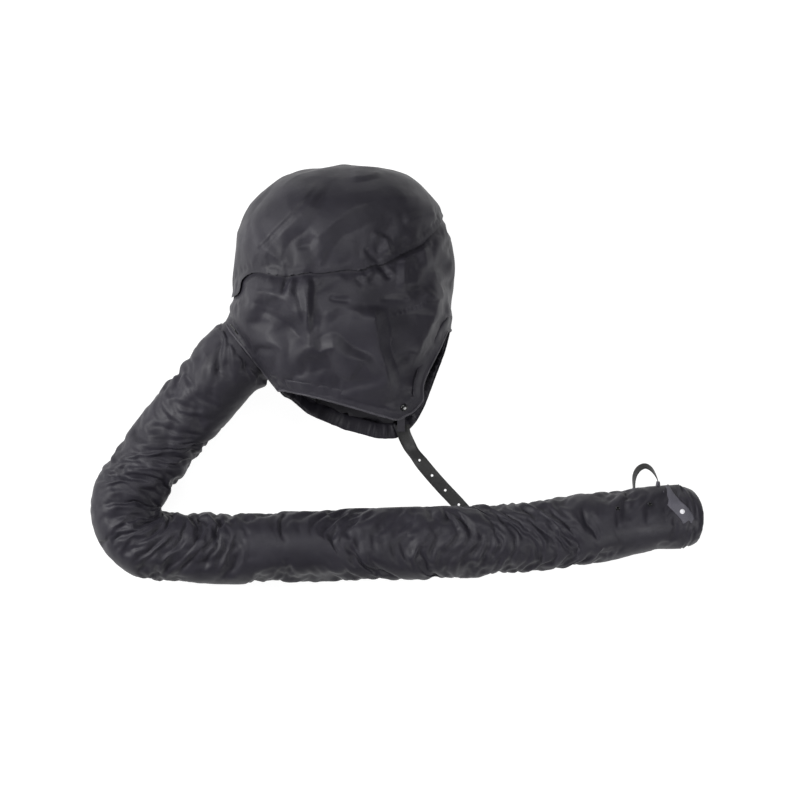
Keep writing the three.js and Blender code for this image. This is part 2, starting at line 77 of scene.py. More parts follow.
HOSE_ROUTE = [
    (-115, -60, 80), (-135, -76, 76), (-169, -114, 64), (-190, -139, 57), (-218, -175, 49),
    (-247, -213, 44.5), (-255.5, -232.5, 43.7), (-255.5, -253, 43.5), (-246.5, -272, 43.5),
    (-229.5, -285.5, 43.5), (-208, -290.5, 43.5), (-164, -291.5, 43.5), (-118, -291.5, 43.5),
    (-82, -291.5, 43.5), (-12, -289, 44.5), (58, -287.5, 46.5), (129, -285, 47), (182, -281, 47),
    (218, -277.5, 46.6), (253, -273.5, 45.5), (288, -269, 43.6), (323, -263.5, 41.2),
    (358, -257.5, 39.4), (394, -255.2, 38.6), (421, -255.2, 38.6),
]
HOSE_RADIUS = 42 * MM
HOSE_END_RADIUS = 36.5 * MM
SLEEVE_END_X = 373 * MM


def smooth_line(points, step):
    """Points about step apart on a centripetal Catmull-Rom curve through the given ones."""
    p = np.array(points, float)
    p = np.vstack([2 * p[0] - p[1], p, 2 * p[-1] - p[-2]])
    out = []
    for i in range(1, len(p) - 2):
        a, b, c, d = p[i - 1 : i + 3]
        t0 = 0.0
        t1 = t0 + np.linalg.norm(b - a) ** 0.5
        t2 = t1 + np.linalg.norm(c - b) ** 0.5
        t3 = t2 + np.linalg.norm(d - c) ** 0.5
        for t in np.linspace(t1, t2, 24, endpoint=False):
            ab = ((t1 - t) * a + (t - t0) * b) / (t1 - t0)
            bc = ((t2 - t) * b + (t - t1) * c) / (t2 - t1)
            cd = ((t3 - t) * c + (t - t2) * d) / (t3 - t2)
            abc = ((t2 - t) * ab + (t - t0) * bc) / (t2 - t0)
            bcd = ((t3 - t) * bc + (t - t1) * cd) / (t3 - t1)
            out.append(((t2 - t) * abc + (t - t1) * bcd) / (t2 - t1))
    out.append(p[-2])
    return evenly(np.array(out), step)


def interpolated(at, along, values):
    """The rows of values, which are known at the lengths along, at other lengths."""
    return np.stack([np.interp(at, along, values[:, k]) for k in range(3)], axis=-1)


def evenly(line, step):
    along = np.concatenate([[0], np.cumsum(np.linalg.norm(np.diff(line, axis=0), axis=1))])
    at = np.linspace(0, along[-1], max(2, round(along[-1] / step) + 1))
    return interpolated(at, along, line)


class Line:
    """A curve measured by its length, with a level side and an upward direction at each place."""

    def __init__(self, points, step=0.5 * MM):
        self.points = smooth_line(points, step)
        steps = np.linalg.norm(np.diff(self.points, axis=0), axis=1)
        self.along = np.concatenate([[0], np.cumsum(steps)])
        self.length = self.along[-1]
        tangent = np.gradient(self.points, self.along, axis=0)
        window = np.ones(9) / 9
        padded = np.pad(tangent, ((4, 4), (0, 0)), mode="edge")
        tangent = np.stack([np.convolve(padded[:, k], window, "valid") for k in range(3)], axis=1)
        self.tangent = tangent / np.linalg.norm(tangent, axis=1, keepdims=True)

    def at(self, s):
        return interpolated(s, self.along, self.points)

    def frame(self, s):
        along = interpolated(s, self.along, self.tangent)
        along = along / np.linalg.norm(along, axis=-1, keepdims=True)
        side = np.cross(along, [0, 0, 1])
        side = side / np.linalg.norm(side, axis=-1, keepdims=True)
        return self.at(s), along, side, np.cross(side, along)

    def at_x(self, x):
        """The length along the line at its last crossing of x."""
        return self.along[np.nonzero(self.points[:, 0] <= x)[0][-1]]


hose = Line(np.array(HOSE_ROUTE) * MM)
SLEEVE_END = hose.at_x(SLEEVE_END_X)


def hose_radius(s):
    t = np.clip((s / hose.length - 0.84) / 0.11, 0, 1)
    return HOSE_RADIUS + (HOSE_END_RADIUS - HOSE_RADIUS) * t * t * (3 - 2 * t)


# ------------------------------------------------------------------ mesh helpers


def add_object(name, verts, faces, smooth=True):
    mesh = bpy.data.meshes.new(name)
    mesh.from_pydata([tuple(v) for v in verts], [], [tuple(f) for f in faces])
    mesh.update()
    if smooth:
        mesh.shade_smooth()
    obj = bpy.data.objects.new(name, mesh)
    bpy.context.scene.collection.objects.link(obj)
    return obj


def points_of(obj):
    co = np.empty(len(obj.data.vertices) * 3)
    obj.data.vertices.foreach_get("co", co)
    return co.reshape(-1, 3)


def set_points(obj, co):
    obj.data.vertices.foreach_set("co", np.asarray(co, float).ravel())
    obj.data.update()


def normals_of(obj):
    n = np.empty(len(obj.data.vertices) * 3)
    obj.data.vertices.foreach_get("normal", n)
    return n.reshape(-1, 3)


def circle(count):
    """Angles spaced evenly round a circle."""
    return np.linspace(0, 2 * math.pi, count, endpoint=False)


def keep_above(points, clearance):
    """Raises those of the points that lie lower than clearance over the table."""
    points[..., 2] = np.maximum(points[..., 2], clearance)


def tube_faces(rings, sides):
    return [
        (i * sides + j, (i + 1) * sides + j, (i + 1) * sides + (j + 1) % sides, i * sides + (j + 1) % sides)
        for i in range(rings - 1)
        for j in range(sides)
    ]


def outward(obj, merge=0.0):
    """Turns all of obj's faces outward, after joining the points that are closer than merge."""
    mesh = bmesh.new()
    mesh.from_mesh(obj.data)
    if merge:
        bmesh.ops.remove_doubles(mesh, verts=mesh.verts, dist=merge)
    bmesh.ops.recalc_face_normals(mesh, faces=mesh.faces)
    mesh.to_mesh(obj.data)
    mesh.free()
    return obj


def closed_tube(name, rings):
    """A solid through rings of points, closed at both ends."""
    count, sides, _ = rings.shape
    faces = tube_faces(count, sides)
    faces.append(tuple(range(sides)))
    faces.append(tuple(reversed(range((count - 1) * sides, count * sides))))
    return outward(add_object(name, rings.reshape(-1, 3), faces))


def swept_loop(name, rows):
    """A closed band through rows of points that each go once round the opening."""
    rows = np.stack(rows)
    count, around, _ = rows.shape
    faces = [
        (i * around + j, i * around + (j + 1) % around,
         (i + 1) % count * around + (j + 1) % around, (i + 1) % count * around + j)
        for i in range(count) for j in range(around)
    ]
    band = add_object(name, rows.reshape(-1, 3), faces)
    return subdivided(band)


def smoothed(values, count):
    """Values round a loop, each averaged with count neighbours on either side."""
    return sum(np.roll(values, k, axis=0) for k in range(-count, count + 1)) / (2 * count + 1)


def unit(v):
    return v / np.maximum(np.linalg.norm(v, axis=-1, keepdims=True), 1e-9)


def bell(value, middle, width):
    """1 at the middle and falling away smoothly to nothing over about twice the width."""
    return np.exp(-(((value - middle) / width) ** 2))


def rumple(points, scale, seed, octaves=3):
    """Smooth noise at each point, about -1 to 1, for features of the given size."""
    shift = Vector((seed * 7.31, seed * 3.77, seed * 1.93))
    return np.array([noise.fractal(Vector(p) / scale + shift, 0.9, 2.1, octaves) for p in points])


def baked(obj):
    """Puts the evaluated mesh in place of the object's own, and takes its modifiers away."""
    dg = bpy.context.evaluated_depsgraph_get()
    mesh = bpy.data.meshes.new_from_object(obj.evaluated_get(dg))
    old = obj.data
    obj.modifiers.clear()
    obj.data = mesh
    bpy.data.meshes.remove(old)
    obj.data.name = obj.name
    return obj


def with_modifier(obj, kind, **settings):
    modifier = obj.modifiers.new(kind.lower(), kind)
    for key, value in settings.items():
        setattr(modifier, key, value)
    return modifier


def subdivided(obj):
    with_modifier(obj, "SUBSURF", levels=1, render_levels=1)
    return baked(obj)


# ------------------------------------------------------------------ cloth


CLOTH_SETTINGS = {
    "quality": 5, "mass": 0.1, "tension_stiffness": 12, "compression_stiffness": 12, "shear_stiffness": 4,
}
CLOTH_GAP = 1.5 * MM
FORM_SKIN = 0.5 * MM


def weigh(obj, name, weights):
    """A vertex group that holds the given weight for each point."""
    group = obj.vertex_groups.new(name=name)
    for i in np.nonzero(weights > 0.01)[0]:
        group.add([int(i)], float(weights[i]), "REPLACE")


def settle(obj, held, slack, form, snug=None, frames=20, bend=0.5, push=0.0, reach=9 * MM):
    """Wrinkles obj as cloth that is cut larger than its place by slack, over a form inside it.

    held says how firmly each point stays where it is, and snug how much of the slack it does without.
    """
    start = points_of(obj)
    weigh(obj, "held", held)
    modifier = with_modifier(obj, "CLOTH")
    settings = modifier.settings
    settings.vertex_group_mass = "held"
    for key, value in CLOTH_SETTINGS.items():
        setattr(settings, key, value)
    settings.bending_stiffness = bend
    settings.shrink_min = -slack
    settings.shrink_max = -slack
    if snug is not None:
        weigh(obj, "snug", snug)
        settings.vertex_group_shrink = "snug"
        settings.shrink_max = 0
    settings.effector_weights.gravity = 0
    settings.use_pressure = push != 0
    settings.uniform_pressure_force = push
    modifier.collision_settings.distance_min = CLOTH_GAP
    form.modifiers.new("collision", "COLLISION")
    form.collision.thickness_outer = FORM_SKIN
    modifier.point_cache.frame_start = 1
    modifier.point_cache.frame_end = frames
    for f in range(1, frames + 1):
        bpy.context.scene.frame_set(f)
    settled = np.empty(len(start) * 3)
    evaluated = obj.evaluated_get(bpy.context.evaluated_depsgraph_get()).to_mesh()
    evaluated.vertices.foreach_get("co", settled)
    obj.modifiers.clear()
    obj.vertex_groups.clear()
    bpy.context.scene.frame_set(1)
    bpy.data.objects.remove(form)
    moved = settled.reshape(-1, 3) - start
    far = np.linalg.norm(moved, axis=1, keepdims=True)
    set_points(obj, start + moved * reach * np.tanh(far / reach) / np.maximum(far, 1e-9))
    return obj


# ------------------------------------------------------------------ hose and cuff fabric

TUBE_SIDES = 72
TUBE_STEP = 2.6 * MM
FOLD_SEED = 1.6 * MM
HOSE_SLACK = 0.24
INLET_RADIUS = 44 * MM
ROOT_END = 28 * MM
RIM_X = 414 * MM
CUFF_FADE = (42 * MM, 60 * MM)
ROOT_SMOOTH = (6 * MM, 30 * MM)
ROOT_FLARE = (4 * MM, 20 * MM)
ROUTE_CLEAR = 0.3 * MM
TABLE_EASE = 6 * MM
FORM_SHARE = 0.87
FORM_SIDES = 32
PUFF = 3.0 * MM
CREASE_DEPTH = 4.5 * MM
# The valleys' pitch in millimetres, how much they change round the hose, their share, and a seed.
CREASE_LAYERS = [(34, 1.1, 0.65, 3), (17, 1.9, 0.35, 9)]


def tube_points(line, s, radius, sides):
    """Rings of points round a line: radius is one number for each s, or one for each point."""
    at, _, side, up = line.frame(s)
    angle = circle(sides)
    radius = np.broadcast_to(np.asarray(radius).reshape(len(s), -1), (len(s), sides))
    out = side[:, None] * np.cos(angle)[None, :, None] + up[:, None] * np.sin(angle)[None, :, None]
    return (at[:, None] + out * radius[..., None]).reshape(-1, 3)


def fold_seed(s, sides):
    """Noise from -1 to 1 on a tube, drawn out round it, that starts folds across the hose."""
    angle = np.tile(circle(sides), len(s))
    along = np.repeat(s, sides)
    wander = 9 * MM * np.sin(2 * angle + along / 0.05) + 6 * MM * np.sin(angle - along / 0.083)
    place = np.stack([np.cos(angle) * 1.3, np.sin(angle) * 1.3, (along + wander) / (13 * MM)], axis=1)
    return rumple(place, 1, 1, 2).reshape(len(s), sides)


def set_creases(s, sides):
    """From 0 to 1: how deep each place on the hose lies in the sharp valleys that run across it."""
    angle = np.tile(circle(sides), len(s))
    along = np.repeat(s, sides)
    slant = 11 * MM * np.sin(angle + along / 0.04) + 7 * MM * np.sin(2 * angle - along / 0.07)
    depth = 0
    for pitch, around, share, seed in CREASE_LAYERS:
        across, up = np.cos(angle) * around, np.sin(angle) * around
        place = np.stack([across, up, (along + slant) / (pitch * MM)], axis=1)
        depth = depth + share * (1 - np.minimum(abs(rumple(place, 1, seed, 1)) * 2.6, 1))
    return depth.reshape(len(s), sides)


def hose_form(s):
    """The tube inside the hose that its fabric is gathered over."""
    inner = s[::3]
    return add_object("hose_form", tube_points(hose, inner, FORM_SHARE * hose_radius(inner), FORM_SIDES),
                      tube_faces(len(inner), FORM_SIDES))


def gathered_tube(s, cuff):
    """The hose's fabric with its folds settled over the form, ring by ring."""
    radius = hose_radius(s) * (0.94 + 0.05 * cuff[:, 0])
    radius += (INLET_RADIUS - 2 * MM - radius) * fade(s, 0, 16 * MM)
    seed = FOLD_SEED * fold_seed(s, TUBE_SIDES) * (1 - 0.8 * cuff)
    tube = add_object("hose", tube_points(hose, s, radius[:, None] + seed, TUBE_SIDES),
                      tube_faces(len(s), TUBE_SIDES))
    held = np.zeros((len(s), TUBE_SIDES))
    held[[0, 1, -2, -1]] = 1
    snug = np.repeat(0.7 * cuff, TUBE_SIDES, axis=1).ravel()
    settle(tube, held.ravel(), HOSE_SLACK, hose_form(s), snug, bend=0.3, reach=12 * MM)
    rings = points_of(tube).reshape(len(s), TUBE_SIDES, 3)
    bpy.data.objects.remove(tube)
    return rings


def creased(rings, s, cuff):
    """The rings with sharp valleys in them, kept close to the hose's radius and above the table."""
    centre = hose.at(s)[:, None]
    out = rings - centre
    radius = np.linalg.norm(out, axis=2)
    valleys = set_creases(s, TUBE_SIDES) * (1 - 0.65 * cuff) * (1 - fade(s, *ROOT_SMOOTH))[:, None]
    out *= (1 - CREASE_DEPTH * valleys / radius)[..., None]
    radius = np.linalg.norm(out, axis=2)
    limit = hose_radius(s)[:, None] - 1 * MM
    over = np.maximum(radius - limit, 0)
    flared = fade(s, *ROOT_FLARE)[:, None]
    capped = np.minimum(radius, limit) + PUFF * np.tanh(over / PUFF)
    rings = centre + out * ((capped + (radius - capped) * flared) / radius)[..., None]
    low = rings[..., 2] - ROUTE_CLEAR
    eased = TABLE_EASE * np.exp(np.minimum(low / TABLE_EASE, 1) - 1)
    rings[..., 2] = ROUTE_CLEAR + np.where(low < TABLE_EASE, eased, low)
    return rings


def hose_cloth():
    """The whole run of gathered fabric, from the hood's seam to the cuff's rim, ring by ring."""
    end = hose.at_x(RIM_X)
    s = np.linspace(0, end, round(end / TUBE_STEP))
    cuff = fade(end - s, *CUFF_FADE)[:, None]
    return creased(gathered_tube(s, cuff), s, cuff), s


def fade(distance, start, end):
    """1 at start and closer, 0 at end and further, smooth between them."""
    t = np.clip((distance - start) / (end - start), 0, 1)
    return 1 - t * t * (3 - 2 * t)


def fabric_tube(name, rings):
    """A piece of gathered fabric through rings of points, with its surface made smooth."""
    count, sides, _ = rings.shape
    return subdivided(add_object(name, rings.reshape(-1, 3), tube_faces(count, sides)))


rings, ring_s = hose_cloth()
at_root = int(np.searchsorted(ring_s, ROOT_END))
at_cuff = int(np.searchsorted(ring_s, SLEEVE_END))
tucked = rings[:1] + np.array((0.778, 0.628, 0.0)) * 5 * MM
root = fabric_tube("root_fabric", np.concatenate([tucked, rings[: at_root + 1]]))
sleeve = fabric_tube("hose_sleeve", rings[at_root : at_cuff + 1])


WIRE_PITCH = 30 * MM
WIRE_RADIUS = 1.1 * MM
WIRE_INSET = 8 * MM
WIRE_STEP = 1.4 * MM


def add_wire(name, start, end):
    """A stretch of the wire spiral that holds the hose open."""
    s = np.linspace(start, end, round((end - start) / WIRE_STEP))
    at, along, side, up = hose.frame(s)
    turn = (2 * math.pi * s / WIRE_PITCH)[:, None]
    out = side * np.cos(turn) + up * np.sin(turn)
    centre = at + out * (hose_radius(s) - WIRE_INSET)[:, None]
    angle = circle(8)
    rings = [centre + (out * math.cos(a) + along * math.sin(a)) * WIRE_RADIUS for a in angle]
    return closed_tube(name, np.stack(rings, axis=1))


MOUTH_Y = -255.2 * MM
MOUTH_Z = 38.6 * MM
MOUTH_HALF_WIDTH = 37 * MM
MOUTH_DRAWN_BACK = 19 * MM
# The rim's x in millimetres, with its size as a share of the fabric's last ring.
RIM_PROFILE = [
    (414.8, 0.992), (416.5, 0.975), (418.2, 0.948), (419.6, 0.915), (420.5, 0.88),
    (420.8, 0.862), (420.6, 0.85), (419.0, 0.845), (415.0, 0.85), (410.0, 0.855),
]
# The folds behind the rim: x, height and width in millimetres.
RIM_FOLDS = [(411.5, -1.3, 1.5), (407.5, 1.0, 2.0), (404, -1.1, 1.6), (399.5, 0.8, 2.4)]


def rounded_mouth(co):
    """Draws the sides of the cuff's end back, so that its mouth is curved; returns the points."""
    co = co.copy()
    side = np.clip((co[..., 1] - MOUTH_Y) / MOUTH_HALF_WIDTH, -1, 1)
    back = MOUTH_DRAWN_BACK * (1 - np.sqrt(1 - 0.97 * side**2)) * np.where(side > 0, 1.35, 0.9)
    co[..., 0] -= back * (1 - fade(co[..., 0], 388 * MM, 421 * MM))
    return co


def rim_rings(last):
    """The cuff's rim, rolled in over the elastic from the last ring of the hose's fabric."""
    centre = last.mean(axis=0)
    angle = circle(len(last))
    out = []
    for i, (x, share) in enumerate(RIM_PROFILE):
        pleat = 0.5 * np.sin(17 * angle + 0.7 * i) + 0.5 * np.sin(29 * angle - 1.1 * i)
        swell = 1 + 0.012 * pleat * math.sin(math.pi * min(1, i / 6))
        ring = centre + (last - centre) * (share * swell)[:, None]
        ring[:, 0] = x * MM + 0.5 * MM * pleat * (0 < i < 6)
        out.append(ring)
    return np.stack(out)


def rim_gathers(rings):
    """Low folds that follow the rim, where its elastic draws the cuff's end in."""
    x = rings[..., 0] / MM
    angle = circle(rings.shape[1])
    wander = x + 1.2 * np.sin(3 * angle) + 0.8 * np.sin(7 * angle + 1)
    rise = 0.0
    for place, height, width in RIM_FOLDS:
        rise = rise + height * bell(wander, place, width)
    out = rings - np.array((0, MOUTH_Y, MOUTH_Z))
    out[..., 0] = 0
    out /= np.linalg.norm(out, axis=2, keepdims=True)
    return rings + out * (rise * MM * (x < 413))[..., None]


def mouth_part(name, profile, sides=64):
    """A ring round the mouth's axis from a closed profile of (radius, x) pairs in millimetres."""
    angle = circle(sides)
    rows = []
    for r, x in profile:
        y, z = MOUTH_Y + r * MM * np.cos(angle), MOUTH_Z + r * MM * np.sin(angle)
        rows.append(rounded_mouth(np.stack([np.full(sides, x * MM), y, z], axis=1)))
    return outward(swept_loop(name, rows))


cuff_rings = rim_gathers(np.concatenate([rings[at_cuff:], rim_rings(rings[-1])]))
cuff = fabric_tube("cuff_fabric", rounded_mouth(cuff_rings))
wires = [
    add_wire(name, start, end)
    for name, start, end in (("wire_upper", 30 * MM, 187 * MM), ("wire_elbow", 191 * MM, 318 * MM),
                             ("wire_lower", 323 * MM, SLEEVE_END - 6 * MM))
]

# ------------------------------------------------------------------ hood shape

# The hood's ribs, from the crown to the chin: back, front, how low and how high, as in the CAD.
RIBS = [
    ((0, 156), (0, 156), 92, 92),
    ((-52, 148), (60, 148), 36, 150),
    ((-92, 127), (98, 124), 8, 181),
    ((-117, 96), (117, 93), -7, 195),
    ((-126, 55), (125, 52), -12, 201),
    ((-131, 14), (126, 10), -14, 202),
    ((-133, -22), (127, -38), -14, 200),
    ((-116, -60), (125, -85), -13, 194),
    ((-88, -104), (120, -132), -12, 184),
    ((-50, -165), (104, -178), -10, 168),
    ((20, -215), (20, -215), 84, 84),
]
FULLNESS = 0.9
NEAR_EDGE = [
    (118, -35), (109, -56), (101, -72), (92, -91), (90, -101), (94, -113),
    (81, -128), (62, -139), (35, -132), (-6, -120), (-50, -107), (-76, -103),
]
FAR_EDGE = [
    (126, -39), (123, -55), (115, -76), (103, -105), (94, -127), (83, -144),
    (73, -155), (60, -163), (38, -163), (-2, -152), (-46, -134), (-74, -110),
]
NEAR_HEIGHT = 190 * MM
CROWN_SEAM = [
    (-200, -8), (-126, 6), (-120, 24), (-107, 32), (-70, 28), (-49, 31), (-24, 32), (6, 36), (17, 34),
    (33, 41), (44, 42), (69, 55), (88, 64), (101, 77), (108, 84), (114, 96), (119, 110), (200, 130),
]
HOSE_SEAM = np.array((-115, -60, 80)) * MM
HOSE_OUT = np.array((-0.778, -0.628, 0.0))
INLET_ROOT_RADIUS = 74 * MM
INLET_DEPTH = 45 * MM
INLET_REGION = 85 * MM
HOOD_CELL = 3.4 * MM
HOOD_SLACK = 0.03
# The heights between which the folds of the near side come in.
NEAR_SIDE = (110 * MM, 150 * MM)


def rib_curve(points, t):
    """Places at t, from 0 to 1, on a uniform Catmull-Rom curve through the points."""
    p = np.array(points, float) * MM
    p = np.vstack([2 * p[0] - p[1], p, 2 * p[-1] - p[-2]])
    at = t * (len(points) - 1)
    i = np.clip(at.astype(int), 0, len(points) - 2)
    w = (at - i)[..., None]
    start = (p[i + 2] - p[i]) / 2
    end = (p[i + 3] - p[i + 1]) / 2
    leave = (2 * w**3 - 3 * w**2 + 1) * p[i + 1] + (w**3 - 2 * w**2 + w) * start
    return leave + (3 * w**2 - 2 * w**3) * p[i + 2] + (w**3 - w**2) * end


def hood_points(t, around):
    back = rib_curve([(*rib[0], rib[2]) for rib in RIBS], t)
    front = rib_curve([(*rib[1], rib[3]) for rib in RIBS], t)
    wide, tall = (np.sign(v) * abs(v) ** FULLNESS for v in (np.cos(around), np.sin(around)))
    middle = (back + front) / 2
    half = (front - back) / 2
    return np.stack(
        [middle[..., 0] + half[..., 0] * wide, middle[..., 1] + half[..., 1] * wide,
         middle[..., 2] + half[..., 2] * tall], axis=-1)


def hood_bag(name, rings, sides, inset=0.0):
    """The hood's shape without the funnel, as one closed surface moved in by inset."""
    t, around = np.meshgrid(
        np.linspace(0.004, 0.996, rings), circle(sides), indexing="ij")
    bag = hood_points(t, around)
    keep_above(bag, 0.5 * MM)
    bag = closed_tube(name, bag)
    if inset:
        set_points(bag, points_of(bag) - normals_of(bag) * inset)
    return bag


def closed_hood():
    """The hood's whole fabric bag with the funnel towards the hose, as one closed surface."""
    hood = hood_bag("hood", 100, 140)
    angle = circle(48)
    side = np.cross(HOSE_OUT, (0, 0, 1))
    ring = side * np.cos(angle)[:, None] + np.array((0, 0, 1)) * np.sin(angle)[:, None]
    stations = np.linspace(-1, 0.25, 16)
    flare = INLET_RADIUS + (INLET_ROOT_RADIUS - INLET_RADIUS) * np.clip(-stations, 0, 1) ** 1.5
    funnel = np.stack([HOSE_SEAM + HOSE_OUT * INLET_DEPTH * u + ring * r for u, r in zip(stations, flare)])
    keep_above(funnel, 0.5 * MM)
    joined(hood, closed_tube("funnel", funnel))
    with_modifier(hood, "REMESH", mode="VOXEL", voxel_size=HOOD_CELL, use_smooth_shade=True)
    return baked(hood)


def joined(obj, *others):
    """Puts the others' meshes into obj."""
    mesh = bmesh.new()
    for part in (obj, *others):
        mesh.from_mesh(part.data)
    mesh.to_mesh(obj.data)
    mesh.free()
    for part in others:
        bpy.data.objects.remove(part)
    return obj


def segment_distances(points, starts, ends):
    """How far each point is from each segment, in plan; starts and ends may differ for each point."""
    along = ends - starts
    reach = points[:, None] - starts
    t = np.clip((reach * along).sum(-1) / (along * along).sum(-1), 0, 1)
    return np.linalg.norm(reach - along * t[..., None], axis=-1)


def inside_outline(points, outline):
    """Whether each point is inside its own closed outline, in plan."""
    a = outline
    b = np.roll(outline, -1, axis=1)
    x, y = points[:, :1], points[:, 1:2]
    across = (a[..., 1] > y) != (b[..., 1] > y)
    rise = np.where(across, b[..., 1] - a[..., 1], 1)
    hit = x < a[..., 0] + (y - a[..., 1]) / rise * (b[..., 0] - a[..., 0])
    return (across & hit).sum(axis=1) % 2 == 1


def opening_outline(height):
    """What the opening leaves out at each height, as a closed outline; the edge is points 0 to 13."""
    lean = np.clip(height / NEAR_HEIGHT, -0.1, 1.15)[:, None, None]
    near, far = np.array(NEAR_EDGE) * MM, np.array(FAR_EDGE) * MM
    edge = far + (near - far) * lean
    start = edge[:, :1] + np.array((130, 5)) * MM
    end = edge[:, -1:] + HOSE_OUT[:2] * 120 * MM
    corners = np.broadcast_to(np.array([(-60, -330), (260, -330)]) * MM, (len(height), 2, 2))
    return np.concatenate([start, edge, end, corners], axis=1)


def from_edge(points):
    """How far each point is from the opening's edge, less than zero where it is past it."""
    outline = opening_outline(points[:, 2])
    far = segment_distances(points[:, :2], outline[:, :13], outline[:, 1:14]).min(axis=1)
    return np.where(inside_outline(points[:, :2], outline), -far, far)


def seen(points):
    """The points moved in plan to where they show from the camera's height, at the middle's level."""
    grown = CAMERA_HEIGHT / (CAMERA_HEIGHT + VIEW_CENTRE.z - points[:, 2:])
    centre = np.array(VIEW_CENTRE)[:2]
    return np.hstack([centre + (points[:, :2] - centre) * grown, points[:, 2:]])


def from_line(points, line):
    """How far each point is from a line of points given in plan."""
    line = np.array(line, float) * MM
    return segment_distances(points[:, :2], line[None, :-1], line[None, 1:]).min(axis=1)


def past_hose_seam(points):
    """How far each point is past the seam where the hose is sewn on."""
    offset = points - HOSE_SEAM
    out = offset @ HOSE_OUT
    return np.where(np.linalg.norm(offset - out[:, None] * HOSE_OUT, axis=1) < INLET_REGION, out, -0.1)


def above_crown_seam(points):
    """How far each point of the near side is above the crown's seam, less than zero below it."""
    line = smooth_line([(x, y, 0) for x, y in CROWN_SEAM], 5)[:, :2]
    points = seen(points)
    outline = np.vstack([line * MM, [(0.2, 0.3), (-0.2, 0.3)]])[None]
    far = from_line(points, line)
    return np.where(inside_outline(points[:, :2], outline), far, -far)


def trim(obj, depth):
    """Cuts obj away where depth is less than zero and draws the cut's border onto depth zero."""
    mesh = bmesh.new()
    mesh.from_mesh(obj.data)
    mesh.verts.ensure_lookup_table()
    value = depth(points_of(obj))
    gone = [v for v in mesh.verts if all(value[w.index] < 0 for w in ring_of(v))]
    bmesh.ops.delete(mesh, geom=gone, context="VERTS")
    mesh.to_mesh(obj.data)
    border = np.array([v.index for v in mesh.verts if v.is_boundary])
    mesh.free()
    co = points_of(obj)
    value = depth(co)
    moving = border[abs(value[border]) < 3 * HOOD_CELL]
    draw_to_zero(co, moving, depth)
    loose = np.nonzero(depth(co) < 0)[0]
    draw_to_zero(co, loose, depth)
    set_points(obj, co)
    return obj


def ring_of(v):
    return [v, *(edge.other_vert(v) for edge in v.link_edges)]


def draw_to_zero(co, chosen, depth):
    """Moves the chosen points in plan to where depth is zero."""
    for _ in range(4):
        here = depth(co[chosen])
        step = 0.2 * MM
        slope = np.stack([(depth(co[chosen] + np.array(d) * step) - here) / step
                          for d in ((1, 0, 0), (0, 1, 0))], axis=1)
        size = np.maximum((slope**2).sum(axis=1), 0.3)
        co[chosen, :2] -= slope * (here / size)[:, None]


CROWN_CREASE = [(-27, 142), (-42, 120), (-63, 97), (-77, 83), (-89, 69), (-98, 60), (-109, 33)]
BROW_CREASE = [
    (-56, 58), (-32, 73), (-11, 92), (2, 102), (14, 109), (44, 116), (73, 120), (103, 120),
]
# Folds of the near side, as lines in plan: their height in millimetres, how far they reach on the
# right hand and on the left hand of the line, and the line. Grooves have a height less than zero.
FOLDS = [
    (7.5, 44, 22, CROWN_CREASE),
    (-2.4, 3.0, 6.0, CROWN_CREASE),
    (7.5, 20, 42, BROW_CREASE),
    (-2.5, 6.0, 10, [(-58, 62), (-42, 65), (-32, 76)]),
    (4.0, 11, 22, [(67, 90), (90, 98), (116, 104)]),
    (2.5, 7.0, 14, [(5, 143), (25, 145), (46, 151)]),
    (4.0, 20, 5.0, [(29, 77), (40, 76), (49, 71), (53, 62), (55, 50)]),
    (-3.0, 5.0, 6.0, [(23, 62), (31, 52), (42, 43)]),
    (-3.6, 4.5, 5.0, [(-66, 30), (-73, 7)]),
    (3.4, 5.0, 7.0, [(-61, 28), (-65, 4)]),
    (-4.2, 5.0, 8.0, [(-54, 31), (-57, 10), (-52, -7), (-44, -32)]),
    (6.5, 6.5, 16, [(-44, -50), (-43, -3), (-43, 33)]),
    (8.0, 13, 28, [(-120, 10), (-95, 8), (-70, -1), (-64, -11), (-40, -38)]),
    (-11, 30, 30, [(-112, -7), (-74, -26), (-42, -56)]),
    (-3.0, 4.0, 6.0, [(-20, 3), (-11, 0), (8, -1)]),
    (-2.2, 4.0, 6.0, [(40, 0), (76, 0)]),
    (3.6, 6.0, 6.0, [(14, 32), (25, 26), (34, 39)]),
    (-4.5, 5.0, 7.0, [(38, 43), (55, 23)]),
    (5.0, 9.0, 14, [(71, 54), (69, 34), (70, 10)]),
    (4.0, 8.0, 10, [(92, 64), (96, 36)]),
    (5.0, 26, 10, [(82, 10), (84, 33), (118, 31)]),
    (13, 46, 18, [(84, 16), (106, 2), (100, -26), (86, -54), (73, -90)]),
    (15, 62, 14, [(37, -4), (35, -26), (40, -56), (49, -88), (60, -124)]),
    (9.0, 28, 14, [(-44, -20), (-42, -53), (-30, -60), (-13, -54), (2, -66), (23, -71), (36, -96)]),
    (3.0, 10, 20, [(-30, -22), (-8, -8), (24, -16)]),
    (-2.2, 5.0, 5.0, CROWN_SEAM[1:-1]),
]


def side_of(points, line):
    """How far each point is from a line in plan, more than zero on its left hand, and how far along."""
    line = np.array(line, float) * MM
    starts, ends = line[None, :-1], line[None, 1:]
    along = ends - starts
    reach = points[:, None, :2] - starts
    t = np.clip((reach * along).sum(-1) / (along * along).sum(-1), 0, 1)
    away = reach - along * t[..., None]
    far = np.linalg.norm(away, axis=-1)
    nearest = far.argmin(axis=1)
    row = np.arange(len(points))
    on, off = along[0, nearest], away[row, nearest]
    left = np.sign(on[:, 0] * off[:, 1] - on[:, 1] * off[:, 0])
    share = (nearest + t[row, nearest]) / len(along[0])
    return far[row, nearest] * left, share


